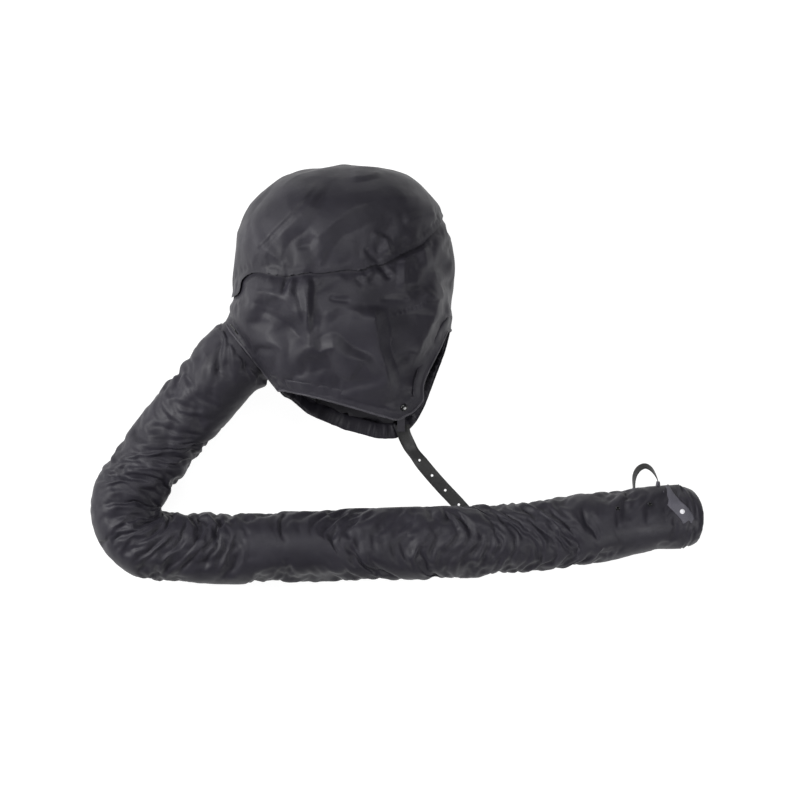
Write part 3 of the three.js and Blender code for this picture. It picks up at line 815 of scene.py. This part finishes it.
def fold_heights(points):
    """How far the folds lift each point: flat slopes that meet in a crisp line."""
    height = np.zeros(len(points))
    places = seen(points)
    sway = 1 + 0.4 * rumple(points, 34 * MM, 7, 1)
    for rise, right, left, line in FOLDS:
        side, share = side_of(places, line)
        width = np.where(side > 0, left, right) * sway * MM
        slope = np.clip(1 - np.hypot(side, 0.6 * MM) / width, 0, 1)
        ends = np.minimum(fade(share, 0.78, 1.0), fade(1 - share, 0.78, 1.0))
        height += rise * MM * slope * ends
    return height * (1 - fade(points[:, 2], *NEAR_SIDE))


HOOD_INSET = 2.5 * MM
FABRIC_CLEAR = 0.3 * MM
FOLDS_FADE = (4 * MM, 24 * MM)
SEAM_LEVEL = 60 * MM
SEAM_LAP = 5 * MM
SEAM_REACH = 9 * MM
CROWN_RISE = 1.0 * MM
REST_RISE = -1.6 * MM


def hood_cloth():
    hood = closed_hood()
    set_points(hood, points_of(hood) - normals_of(hood) * HOOD_INSET)
    trim(hood, from_edge)
    trim(hood, lambda p: -past_hose_seam(p))
    co = points_of(hood)
    keep_above(co, 0.4 * MM)
    set_points(hood, co)
    high = co[:, 2] > SEAM_LEVEL
    seam = fade(abs(above_crown_seam(co)), 2 * MM, 7 * MM) * high
    edge = fade(from_edge(co), 3 * MM, 9 * MM)
    inlet = fade(-past_hose_seam(co), 2 * MM, 8 * MM)
    table = fade(co[:, 2], 1 * MM, 6 * MM) * 0.5
    held = np.maximum.reduce([seam, edge, inlet, table])
    start = rumple(co, 70 * MM, 5, 2) * (1 - held) * 3 * MM
    set_points(hood, co + start[:, None] * normals_of(hood))
    head = hood_bag("head", 40, 48, 6 * MM)
    settle(hood, held, HOOD_SLACK, head, bend=5.0, push=1.5, reach=5 * MM)
    return hood


def facets(points, scale, seed):
    """Noise from -1 to 1 with sharp ridges, as set creases leave in thin cloth."""
    shift = Vector((seed * 5.13, seed * 2.71, seed * 8.37))
    return np.array([1 - 3.2 * abs(noise.noise(Vector(p) / scale + shift)) for p in points])


def folded(fabric):
    """Lifts the free parts of the hood's fabric into its folds and facets."""
    co = points_of(fabric)
    free = 1 - fade(from_edge(co), *FOLDS_FADE)
    free *= 1 - fade(-past_hose_seam(co), *FOLDS_FADE)
    lift = fold_heights(co) * free
    lift += (facets(co, 64 * MM, 1) * 1.3 + facets(co, 30 * MM, 2) * 0.25) * MM * free
    near_side = (co[:, 2] > NEAR_SIDE[0])[:, None] * np.array((0, 0, 1.2))
    co += lift[:, None] * unit(normals_of(fabric) + near_side)
    keep_above(co, FABRIC_CLEAR)
    set_points(fabric, co)
    with_modifier(fabric, "SMOOTH", factor=0.5, iterations=2)
    return baked(fabric)


def finished_hood():
    """The hood's fabric with its folds, as the crown's panel and the rest, which it laps over."""
    rest = folded(subdivided(hood_cloth()))
    crown = rest.copy()
    crown.data = rest.data.copy()
    bpy.context.scene.collection.objects.link(crown)
    trim(crown, above_crown_seam)
    trim(rest, lambda p: SEAM_LAP - above_crown_seam(p))
    for part, rise in ((crown, CROWN_RISE), (rest, REST_RISE)):
        co = points_of(part)
        far = above_crown_seam(co)
        near = fade(abs(far) if rise > 0 else -far, 0, SEAM_REACH)
        co += (near * rise)[:, None] * normals_of(part)
        keep_above(co, FABRIC_CLEAR)
        set_points(part, co)
    return crown, rest


crown, hood = finished_hood()

# ------------------------------------------------------------------ the opening's hem and binding


EDGE_STEP = 2.2 * MM


def border_loops(obj):
    """The borders of a mesh, each as its points' numbers in order."""
    mesh = bmesh.new()
    mesh.from_mesh(obj.data)
    edges = {e for e in mesh.edges if e.is_boundary}
    loops = []
    while edges:
        edge = min(edges, key=lambda e: e.index)
        edges.discard(edge)
        loop = [edge.verts[0].index]
        v = edge.verts[1]
        while v.index != loop[0]:
            loop.append(v.index)
            edge = next(e for e in v.link_edges if e in edges)
            edges.discard(edge)
            v = edge.other_vert(v)
        loops.append(loop)
    mesh.free()
    return loops


def opening_edge():
    """The opening's edge as evenly spaced points, with the fabric's way out and way in at each."""
    co = points_of(hood)
    loops = border_loops(hood)
    loop = max(loops, key=lambda l: np.linalg.norm(np.diff(co[l], axis=0), axis=1).sum())
    at = smoothed(co[loop], 2)
    out = normals_of(hood)[loop]
    closed = np.vstack([at, at[:1]])
    along = np.concatenate([[0], np.cumsum(np.linalg.norm(np.diff(closed, axis=0), axis=1))])
    count = round(along[-1] / EDGE_STEP)
    where = np.linspace(0, along[-1], count, endpoint=False)

    def even(values):
        return interpolated(where, along, np.vstack([values, values[:1]]))

    at, out = smoothed(even(at), 1), unit(smoothed(even(out), 6))
    tangent = unit(smoothed(np.roll(at, -1, axis=0) - np.roll(at, 1, axis=0), 4))
    inward = unit(np.cross(out, tangent))
    if from_edge(at + inward * 6 * MM).mean() < 0:
        inward = -inward
    return at, out, inward, where


HEM_GATHER = 2.4 * MM
# The hem's section: how far in, how deep, and the share of the gathers that it takes.
HEM_PROFILE = [
    (15, 1.2, 0), (8, 0.9, 0), (2, 0.8, 0), (-0.4, 1.2, 0.3), (-1.4, 2.4, 0.8), (-0.6, 3.8, 1.0),
    (4, 5.0, 1.0), (10, 5.6, 1.0), (14, 5.2, 0.7), (17, 4.0, 0.2), (17.5, 2.4, 0),
]


def add_hem():
    at, out, inward, along = opening_edge()
    total = along[-1]
    place = np.stack([np.cos(along / total * 2 * math.pi), np.sin(along / total * 2 * math.pi),
                      np.zeros(len(along))], axis=1) * total / (2 * math.pi)
    gather = rumple(place, 5 * MM, 3, 2) + 0.7 * rumple(place, 13 * MM, 4, 1)
    rows = [
        at + (inward * across - out * depth) * MM
        + (gather * share * HEM_GATHER)[:, None] * (out + 0.4 * inward)
        for across, depth, share in HEM_PROFILE
    ]
    for row in rows:
        keep_above(row, FABRIC_CLEAR)
    hem = swept_loop("hood_hem", rows)
    angle = circle(8)
    rows = [
        at + (inward * (0.3 + 1.5 * math.cos(a)) + out * (0.1 + 0.8 * math.sin(a))) * MM
        + (gather * 0.3 * MM)[:, None] * out
        for a in angle
    ]
    for row in rows:
        keep_above(row, 0.2 * MM)
    return hem, swept_loop("edge_binding_tape", rows)


hem, binding = add_hem()

# ------------------------------------------------------------------ lining

LINING_INSET = 13 * MM
AIR_HOLE_RADIUS = 4 * MM
AIR_HOLE_PITCH = 34 * MM
BROAD_SIDES = (22 * MM, 178 * MM)
LINING_MARGIN = 16 * MM
LINING_THICKNESS = 0.8 * MM
DUCT_RADIUS = 50 * MM
DUCT_BACK = 30 * MM


def from_air_hole(points):
    """How far each point is outside the nearest air hole, for the lining's two broad sides."""
    row = np.round(points[:, 1] / AIR_HOLE_PITCH)
    shift = np.where(row % 2 == 0, 0, AIR_HOLE_PITCH / 2)
    column = np.round((points[:, 0] - shift) / AIR_HOLE_PITCH)
    dx = points[:, 0] - shift - column * AIR_HOLE_PITCH
    dy = points[:, 1] - row * AIR_HOLE_PITCH
    far = np.hypot(dx, dy) - AIR_HOLE_RADIUS
    broad = (points[:, 2] < BROAD_SIDES[0]) | (points[:, 2] > BROAD_SIDES[1])
    return np.where(broad, far, 1.0)


def add_lining():
    lining = hood_bag("lining", 100, 130, LINING_INSET)
    trim(lining, lambda p: from_edge(p) - LINING_MARGIN)
    trim(lining, lambda p: np.linalg.norm(p - HOSE_SEAM + HOSE_OUT * DUCT_BACK, axis=1) - DUCT_RADIUS)
    trim(lining, from_air_hole)
    co = points_of(lining)
    keep_above(co, 2 * MM)
    set_points(lining, co + (rumple(co, 30 * MM, 8, 3) * 1.2 * MM)[:, None] * normals_of(lining))
    with_modifier(lining, "SOLIDIFY", thickness=LINING_THICKNESS, offset=-1)
    return baked(lining)


lining = add_lining()

# ------------------------------------------------------------------ strap

STRAP_ROUTE = [
    (68, -147, 14), (69, -156, 13.8), (73, -166, 10), (79, -177, 3.4), (87, -188, 0.9),
    (100, -204, 0.9), (115, -221, 0.9), (132, -239, 0.9), (149, -258, 0.9), (166, -277, 0.9),
    (178, -291, 0.9),
]
STRAP_WIDTH = 16 * MM
STRAP_THICKNESS = 1.4 * MM
STRAP_TIP = 8 * MM
STRAP_BEND = 42 * MM
STRAP_HOLE_RADIUS = 1.5 * MM
STRAP_HOLE_PITCH = 23.5 * MM
STRAP_FIRST_HOLE = 50 * MM
HOLE_SIDES = 16
HOLE_BLOCK = 4.5 * MM


def quads(grid):
    """Faces over a grid of point numbers."""
    return [
        (grid[i][j], grid[i + 1][j], grid[i + 1][j + 1], grid[i][j + 1])
        for i in range(len(grid) - 1)
        for j in range(len(grid[0]) - 1)
    ]


def hole_block(width, rows, radius):
    """The points of a square with a round hole in it, from its sides in to the hole's edge."""
    columns = np.linspace(-HOLE_BLOCK, HOLE_BLOCK, 5)[:-1]
    square = [(HOLE_BLOCK, y) for y in rows[:-1]]
    square += [(-x, width / 2) for x in columns]
    square += [(-HOLE_BLOCK, -y) for y in rows[:-1]]
    square += [(x, -width / 2) for x in columns]
    rings = [square]
    angle = [math.atan2(-1, 1) + 2 * math.pi * i / HOLE_SIDES for i in range(HOLE_SIDES)]
    for share in (1.7, 1.12, 1.0):
        rings.append([(share * radius * math.cos(a), share * radius * math.sin(a)) for a in angle])
    return rings


def ring_quads(first, rings):
    """Faces between rings of HOLE_SIDES points that are numbered on from first."""
    faces = []
    for k in range(rings - 1):
        for i in range(HOLE_SIDES):
            a = first + HOLE_SIDES * k + i
            b = first + HOLE_SIDES * k + (i + 1) % HOLE_SIDES
            faces.append((a, b, b + HOLE_SIDES, a + HOLE_SIDES))
    return faces


def perforated_strip(length, width, holes, radius):
    """A flat strip along x with round holes on its middle line: its points and faces."""
    verts, faces = [], []
    stops = [0.0]
    for hole in holes:
        stops += [hole - HOLE_BLOCK, hole + HOLE_BLOCK]
    stops.append(length)
    rows = np.linspace(-width / 2, width / 2, 5)
    for start, end in zip(stops[::2], stops[1::2]):
        count = max(2, round((end - start) / (3 * MM)))
        xs = np.linspace(start, end, count + 1)
        first = len(verts)
        verts += [(x, y) for x in xs for y in rows]
        faces += quads([[first + i * 5 + j for j in range(5)] for i in range(count + 1)])
    for hole in holes:
        rings = hole_block(width, rows, radius)
        faces += ring_quads(len(verts), len(rings))
        verts += [(hole + x, y) for ring in rings for x, y in ring]
    return np.array(verts), faces


def add_strap():
    line = Line(np.array(STRAP_ROUTE) * MM)
    holes = np.arange(STRAP_FIRST_HOLE, line.length - STRAP_TIP, STRAP_HOLE_PITCH)
    flat, faces = perforated_strip(line.length, STRAP_WIDTH, holes, STRAP_HOLE_RADIUS)
    s, across = flat[:, 0], flat[:, 1]
    tip = np.sqrt(np.clip(1 - ((s - line.length + STRAP_TIP) / STRAP_TIP).clip(0) ** 2, 0.12, 1))
    narrow = 1 - 0.1 * bell(s, 40 * MM, 9 * MM)
    at, _, side, up = line.frame(s)
    twist = np.radians(17) * bell(s, STRAP_BEND, 13 * MM)
    out = side * np.cos(twist)[:, None] + up * np.sin(twist)[:, None]
    co = at + out * (across * tip * narrow)[:, None]
    co[:, 2] += 3 * MM * bell(s, STRAP_BEND, 16 * MM)
    strap = outward(add_object("strap", co, faces), merge=0.05 * MM)
    with_modifier(strap, "SOLIDIFY", thickness=STRAP_THICKNESS, offset=0)
    with_modifier(strap, "BEVEL", width=0.3 * MM, segments=2)
    baked(strap)
    strap.data.shade_smooth()
    return strap


strap = add_strap()

# ------------------------------------------------------------------ loop, tabs and small parts


def add_band(name, centre, across, thickness):
    """A flat band through the centre points, across each of which it is as wide as across says."""
    centre, across = np.asarray(centre), np.asarray(across)
    tangent = unit(np.gradient(centre, axis=0))
    thick = unit(np.cross(tangent, across)) * thickness / 2
    rows = [centre + across * v / 2 for v in (-1, -0.5, 0, 0.5, 1)]
    over = [row + thick for row in rows]
    under = [row - thick for row in reversed(rows)]
    loop = np.stack(over + under, axis=1)
    band = closed_tube(name, loop)
    with_modifier(band, "BEVEL", width=0.2 * MM, segments=1, limit_method="ANGLE")
    return baked(band)


LOOP_LEVEL = 39.6 * MM
LOOP_THICKNESS = 1.1 * MM
TAB_SIDES = 20
LOOP_LINE = [
    (340.5, -223), (340.6, -211), (342.5, -204), (347, -198), (353.5, -195.4), (359.5, -198), (364.5, -204),
    (368, -211), (368.8, -214.5),
]


def add_loop():
    """A band that turns its edge up at its feet and its flat side up at its top."""
    path = smooth_line([(x * MM, y * MM, LOOP_LEVEL) for x, y in LOOP_LINE], 1.2 * MM)
    share = np.linspace(0, 1, len(path))
    width = (7.5 + 1.5 * np.sin(math.pi * share)) * MM
    lean = np.radians(14 + 36 * np.sin(math.pi * share) ** 2 - 12 * share)
    tangent = unit(np.gradient(path, axis=0))
    flat = unit(np.cross(tangent, (0, 0, 1)))
    across = np.array((0, 0, 1)) * np.cos(lean)[:, None] + flat * np.sin(lean)[:, None]
    return add_band("loop", path, across * width[:, None], LOOP_THICKNESS)


def add_tab(name, x, height):
    """A fold of fabric that holds one foot of the loop."""
    base = hose_top(x)
    ys = np.linspace(base, base + height, 9)
    rings = []
    for i, y in enumerate(ys):
        share = i / 8
        wide = (3.1 - 1.0 * share) * MM
        tall = (6.4 - 1.2 * share) * MM
        angle = circle(TAB_SIDES)
        ridge = 1 + 0.08 * np.sin(5 * angle + 9 * share)
        full = [np.sign(v) * abs(v) ** 0.6 for v in (np.cos(angle), np.sin(angle))]
        across, up = x + wide * full[0] * ridge, LOOP_LEVEL + tall * full[1] * ridge
        rings.append(np.stack([across, np.full(TAB_SIDES, y), up], axis=1))
    return subdivided(closed_tube(name, np.stack(rings)))


def turned(name, at, out, profile, sides=40):
    """A round part from a profile of (radius, height) pairs in millimetres, standing at a place."""
    turn = Vector(out).to_track_quat("Z", "Y").to_matrix()
    angle = circle(sides)
    x, y = np.cos(angle), np.sin(angle)
    rings = [np.stack([r * x, r * y, np.full(sides, h)], axis=1) for r, h in profile]
    co = np.concatenate(rings) * MM @ np.array(turn).T + np.array(at)
    faces = tube_faces(len(profile), sides)
    faces.append(tuple(range(sides)))
    faces.append(tuple(range(len(co) - 1, len(co) - sides - 1, -1)))
    return outward(add_object(name, co, faces), merge=0.01 * MM)


# ------------------------------------------------------------------ materials


class Shader:
    """A material being put together from nodes."""

    def __init__(self, name):
        self.material = bpy.data.materials.new(name)
        self.material.use_nodes = True
        self.tree = self.material.node_tree
        self.surface = self.tree.nodes["Principled BSDF"]
        self.place = self.tree.nodes.new("ShaderNodeTexCoord").outputs["Object"]

    def node(self, kind, inputs=(), **settings):
        node = self.tree.nodes.new("ShaderNode" + kind)
        for key, value in settings.items():
            setattr(node, key, value)
        for key, value in dict(inputs).items():
            self.feed(node.inputs[key], value)
        return node

    def feed(self, socket, value):
        if isinstance(value, bpy.types.NodeSocket):
            self.tree.links.new(value, socket)
        else:
            socket.default_value = value

    def noise(self, scale, detail=3.0, place=None, roughness=0.55):
        place = self.place if place is None else place
        return self.node("TexNoise", {"Vector": place, "Scale": scale, "Detail": detail,
                                      "Roughness": roughness}).outputs["Fac"]

    def ramp(self, value, low, high, to_low=0.0, to_high=1.0):
        return self.node("MapRange", {"Value": value, "From Min": low, "From Max": high,
                                      "To Min": to_low, "To Max": to_high}).outputs["Result"]

    def mixed(self, share, a, b):
        node = self.node("MixRGB")
        self.feed(node.inputs["Fac"], share)
        self.feed(node.inputs["Color1"], (*a, 1) if isinstance(a, tuple) else a)
        self.feed(node.inputs["Color2"], (*b, 1) if isinstance(b, tuple) else b)
        return node.outputs["Color"]

    def bump(self, height, distance, strength=1.0, under=None):
        inputs = {"Height": height, "Distance": distance, "Strength": strength}
        if under is not None:
            inputs["Normal"] = under
        return self.node("Bump", inputs).outputs["Normal"]

    def finish(self, **sockets):
        for key, value in sockets.items():
            name = key.replace("_", " ")
            self.feed(self.surface.inputs[name], (*value, 1) if isinstance(value, tuple) else value)
        return self.material


def taffeta(name, dark, light, rough=(0.46, 0.6), crease=0.5, weave=0.00006):
    """Thin woven nylon: a fine weave, small set creases, and patches of wear and lint."""
    m = Shader(name)
    patch = m.ramp(m.noise(22, 4), 0.35, 0.65)
    speck = m.ramp(m.noise(900, 2), 0.62, 0.8)
    tint = m.mixed(patch, dark, light)
    tint = m.mixed(m.node("Math", {0: speck, 1: 0.3}, operation="MULTIPLY").outputs[0], tint,
                   tuple(min(1.0, 1.9 * c) for c in light))
    warp = m.node("TexWave", {"Vector": m.place, "Scale": 520.0, "Distortion": 0.6, "Detail": 1.0},
                  bands_direction="X")
    weft = m.node("TexWave", {"Vector": m.place, "Scale": 470.0, "Distortion": 0.6, "Detail": 1.0},
                  bands_direction="Y")
    cloth = m.node("Math", {0: warp.outputs["Fac"], 1: weft.outputs["Fac"]}, operation="ADD").outputs[0]
    normal = m.bump(m.noise(46, 3), 0.0016, 0.5 * crease)
    normal = m.bump(cloth, weave, 0.35, normal)
    return m.finish(Base_Color=tint, Roughness=m.ramp(m.noise(40, 3), 0.3, 0.7, *rough), Normal=normal,
                    Specular_IOR_Level=0.28)


def solid(name, dark, light, rough, grain=0.00008, scale=260, metal=0.0):
    """Rubber, plastic or metal with a fine grain, faint scuffs and a little dust."""
    m = Shader(name)
    cloud = m.ramp(m.noise(scale / 6, 4), 0.35, 0.7)
    scuff = m.node("TexNoise", {"Vector": m.place, "Scale": scale * 1.6, "Detail": 5.0, "Distortion": 1.4})
    worn = m.ramp(scuff.outputs["Fac"], 0.55, 0.72)
    return m.finish(Base_Color=m.mixed(cloud, dark, light),
                    Roughness=m.ramp(worn, 0, 1, *rough),
                    Metallic=metal, Normal=m.bump(scuff.outputs["Fac"], grain, 0.5))


def webbing(name, dark, light):
    """Coarser woven tape and stitched fabric."""
    m = Shader(name)
    rib = m.node("TexWave", {"Vector": m.place, "Scale": 330.0, "Distortion": 0.8, "Detail": 2.0},
                 bands_direction="DIAGONAL")
    tint = m.mixed(m.ramp(m.noise(60, 4), 0.35, 0.65), dark, light)
    return m.finish(Base_Color=tint, Roughness=m.ramp(rib.outputs["Fac"], 0, 1, 0.5, 0.75),
                    Normal=m.bump(rib.outputs["Fac"], 0.0002, 0.5))


NYLON = taffeta("nylon_taffeta", (0.0185, 0.0171, 0.0235), (0.0265, 0.0247, 0.0328))
LINING = taffeta("nylon_lining", (0.014, 0.0134, 0.0165), (0.021, 0.020, 0.0245), (0.55, 0.72), 0.3)
TAPE = webbing("binding_tape", (0.034, 0.032, 0.040), (0.050, 0.047, 0.058))
FELLED = webbing("stitched_fabric", (0.062, 0.060, 0.076), (0.088, 0.085, 0.105))
RUBBER = solid("strap_rubber", (0.013, 0.013, 0.0132), (0.021, 0.021, 0.0212), (0.5, 0.72))
GLOSS = solid("black_plastic", (0.008, 0.008, 0.009), (0.013, 0.013, 0.014), (0.16, 0.36), 0.00002)
WHITE = solid("white_plastic", (0.68, 0.68, 0.71), (0.82, 0.82, 0.85), (0.18, 0.4), 0.00002)
STEEL = solid("spring_steel", (0.42, 0.43, 0.44), (0.58, 0.59, 0.6), (0.22, 0.45), 0.00003, 400, 1.0)

# ------------------------------------------------------------------ what each piece stands for


def place(obj, name, material, replaced, slot, body=None):
    """Names a finished piece, gives it its material, hides the CAD nodes it takes the place of and puts it
    on its body.
    """
    obj.name = name
    obj.data.name = name
    obj.data.materials.clear()
    obj.data.materials.append(material)
    obj.data.shade_smooth()
    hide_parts(*replaced)
    if body:
        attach(obj, body)
    return obj


def surface_at(obj, x, y):
    """The place on obj straight above (x, y), or else the nearest one, and the way out there."""
    hit, at, out, _ = obj.ray_cast(Vector((x, y, 1)), Vector((0, 0, -1)))
    if not hit:
        _, at, out, _ = obj.closest_point_on_mesh(Vector((x, y, 0.06)))
    return np.array(at), np.array(out)


def hose_top(x):
    """How far out in Y the hose's fabric reaches, beside the loop, at x."""
    co = points_of(sleeve)
    near = (abs(co[:, 0] - x) < 5 * MM) & (abs(co[:, 2] - LOOP_LEVEL) < 6 * MM) & (co[:, 1] > -250 * MM)
    return co[near, 1].mean() - 3 * MM if near.any() else -222 * MM


PANELS = ("crown_panel_near", "cheek_panel_near", "crown_panel_far", "cheek_panel_far",
          "forehead_panel", "nape_panel")
place(hood, "hood_fabric", NYLON, PANELS[1:2] + PANELS[3:], "nylon", "hood")
place(crown, "crown_fabric", NYLON, ("crown_panel_near", "crown_panel_far"), "nylon", "hood")
place(hem, "hood_hem", NYLON, ("hem_casing", "hem_elastic"), "nylon", "hood")
place(binding, "hood_binding", TAPE, ("edge_binding",), "nylon", "hood")
place(lining, "lining_fabric", LINING, ("air_lining",), "lining", "hood")
place(strap, "strap", RUBBER, ("chin_strap",), "rubber", "chin_strap")
loop = place(add_loop(), "loop_strap", RUBBER, ("pull_loop",), "rubber", "pull_loop")
tab_rear, tab_front = (
    place(add_tab("tab", x * MM, height * MM), f"tab_{end}", FELLED, (f"loop_tab_{end}",), "webbing",
          "hose_lower")
    for end, x, height in (("rear", 340.6, 4), ("front", 368.8, 8.5))
)
place(wires[0], "wire_upper", STEEL, ("upper_spiral",), "spring_steel", "hose_upper")
place(wires[2], "wire_lower", STEEL, ("lower_spiral",), "spring_steel", "hose_lower")
place(wires[1], "wire_elbow", STEEL, ("elbow_spiral",), "spring_steel")
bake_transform(wires[1])

SNAP_CAP = [(0, -3), (2.9, -3), (2.9, 0.7), (2.7, 1.4), (2.0, 1.9), (1.0, 2.15), (0.01, 2.2)]
EYELET = [(1.3, 0.2), (1.3, 1.1), (1.6, 1.5), (2.2, 1.4), (2.6, 0.9), (2.7, 0.2), (2.6, -1.5), (1.3, -1.5),
          (1.3, 0.2)]
BUTTON = [(0, -3), (1.6, -3), (1.6, 0.6), (4, 0.6), (4.4, 1.1), (4.2, 2), (3.6, 2.7), (2.2, 3), (0.01, 3.1)]


def stand_on(fabric, name, x, y, profile, material, node, slot, body):
    """A round part on the fabric at (x, y), leaning halfway between the fabric's way out and up."""
    at, out = surface_at(fabric, x * MM, y * MM)
    part = turned(name, at, unit(out + (0, 0, 1.0)), profile)
    return place(part, name, material, (node,), slot, body)


STRIP_LINE = [(374, -221), (379, -231), (387, -240), (396, -249), (402, -257), (404, -267)]
STRIP_WIDTH = 15 * MM
STRIP_THICKNESS = 1.2 * MM
STRIP_RISE = 1.4 * MM
STRIP_TUCK = 3 * MM


def add_strip():
    """The folded strip of fabric that crosses the cuff slantwise and holds the snap."""
    path = smooth_line([(x * MM, y * MM, 0) for x, y in STRIP_LINE], 2 * MM)[:, :2]
    side = unit(np.gradient(path, axis=0)[:, ::-1] * (1, -1))
    shares = np.linspace(-0.5, 0.5, 9)
    rise = STRIP_RISE - STRIP_TUCK * fade(1 - np.linspace(0, 1, len(path)), 0, 0.3)
    rows = []
    for at, across, above in zip(path, side, rise):
        found = [surface_at(cuff, *(at + across * share * STRIP_WIDTH)) for share in shares]
        rows.append([place_at + out * above for place_at, out in found])
    rows = np.array(rows)
    for _ in range(4):
        rows[1:-1] = (rows[:-2] + rows[1:-1] * 2 + rows[2:]) / 4
        rows[:, 1:-1] = (rows[:, :-2] + rows[:, 1:-1] * 2 + rows[:, 2:]) / 4
    grid = np.arange(rows.shape[0] * rows.shape[1]).reshape(rows.shape[:2])
    strip = add_object("strip", rows.reshape(-1, 3), quads(grid.tolist()))
    with_modifier(strip, "SOLIDIFY", thickness=STRIP_THICKNESS, offset=0)
    return outward(subdivided(strip))


strip = place(add_strip(), "snap_strip", FELLED, ("cuff_band",), "webbing")
snap = stand_on(strip, "snap", 395.1, -248.1, SNAP_CAP, WHITE, "snap_cap", "white_plastic", "mouth")
MOUTH_RING = [(25.5, 387), (25.5, 391), (26.1, 392), (26.1, 396), (25.5, 397), (25.5, 401), (26.1, 402),
              (26.1, 406), (25.5, 407), (25.5, 412), (25.5, 419), (26.2, 420.6), (27.6, 421), (29.6, 420.8),
              (30.3, 419), (30.3, 412), (31.4, 409), (31.5, 400), (31.4, 388), (30, 386.4), (27, 386.4)]
mouth_ring = place(mouth_part("ring", MOUTH_RING), "mouth_collar", RUBBER, ("mouth_ring",), "rubber",
                   "mouth")
RIM_CORD = [(31.0, 413.6), (31.6, 413.4), (32.1, 413.8), (32.1, 416.4), (31.6, 416.8), (31.0, 416.6)]
elastic = place(mouth_part("elastic", RIM_CORD), "rim_band", RUBBER, ("rim_elastic",), "rubber", "mouth")
# The rear eyelet is a black part set where the hose has only a dark fold shadow: painted shade.
eyelet_a, painted_shade_eyelet = (
    stand_on(sleeve, name, x, y, EYELET, GLOSS, node, "black_plastic", "hose_lower")
    for name, x, y, node in (("eyelet_a", 357.5, -239.9, "eyelet_front"),
                             ("painted_shade_eyelet", 319.3, -244.6, "eyelet_rear"))
)
stand_on(hood, "button", 69, -126, BUTTON, GLOSS, "chin_button", "black_plastic", "hood")

LOWER_SLEEVES = ("lower_sleeve_rear", "lower_sleeve_middle", "lower_sleeve_front")
place(root, "root_fabric", NYLON, ("root_sleeve",), "nylon")
place(sleeve, "hose_fabric", NYLON, ("upper_sleeve", "elbow_sleeve", *LOWER_SLEEVES), "nylon")
place(cuff, "cuff_fabric_piece", NYLON, ("neck_sleeve", "mouth_cuff"), "nylon")

for name, material in (("inlet_hoop", GLOSS), ("button_backing", GLOSS), ("snap_washer", STEEL),
                       ("strap_anchor", TAPE)):
    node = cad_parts[name]
    node.data.materials.clear()
    node.data.materials.append(material)

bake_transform(root)
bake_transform(sleeve)
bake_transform(cuff)
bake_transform(strip)

# ------------------------------------------------------------------ light and floor

FLOOR_GLOW = 0.93
FLOOR_HALF = 4
FLOOR_LEVEL = -0.6 * MM
SKY = 0.04
# Each lamp's place, its width and height in metres, and its power in watts.
LAMPS = [
    ("key", (-1.8, 0.2, 1.2), (0.9, 0.9), 46),
    ("overhead", (0.1, 0.7, 2.3), (1.2, 0.9), 22),
    ("fill", (0.62, -0.66, 0.75), (0.3, 0.3), 4),
]


def add_area(name, at, size, power):
    data = bpy.data.lights.new(name, "AREA")
    data.shape = "RECTANGLE"
    data.size, data.size_y = size
    data.energy = power
    light = bpy.data.objects.new(name, data)
    light.location = at
    light.rotation_euler = (VIEW_CENTRE - Vector(at)).to_track_quat("-Z", "Y").to_euler()
    bpy.context.scene.collection.objects.link(light)


def add_stage():
    corners = [(x * FLOOR_HALF, y * FLOOR_HALF, FLOOR_LEVEL)
               for x, y in ((-1, -1), (1, -1), (1, 1), (-1, 1))]
    floor = add_object("floor", corners, [(0, 1, 2, 3)])
    m = Shader("floor_paper")
    tone = m.mixed(m.noise(3, 2), (0.2, 0.2, 0.2), (0.24, 0.24, 0.24))
    m.finish(Base_Color=tone, Roughness=0.9, Emission_Color=(1.0, 1.0, 1.0), Emission_Strength=FLOOR_GLOW)
    floor.data.materials.append(m.material)
    world = bpy.data.worlds.new("world")
    bpy.context.scene.world = world
    world.use_nodes = True
    world.node_tree.nodes["Background"].inputs[0].default_value = (1, 1, 1, 1)
    world.node_tree.nodes["Background"].inputs[1].default_value = SKY
    for name, at, size, power in LAMPS:
        add_area(name, at, size, power)
    bpy.context.scene.view_settings.view_transform = "Standard"


add_stage()
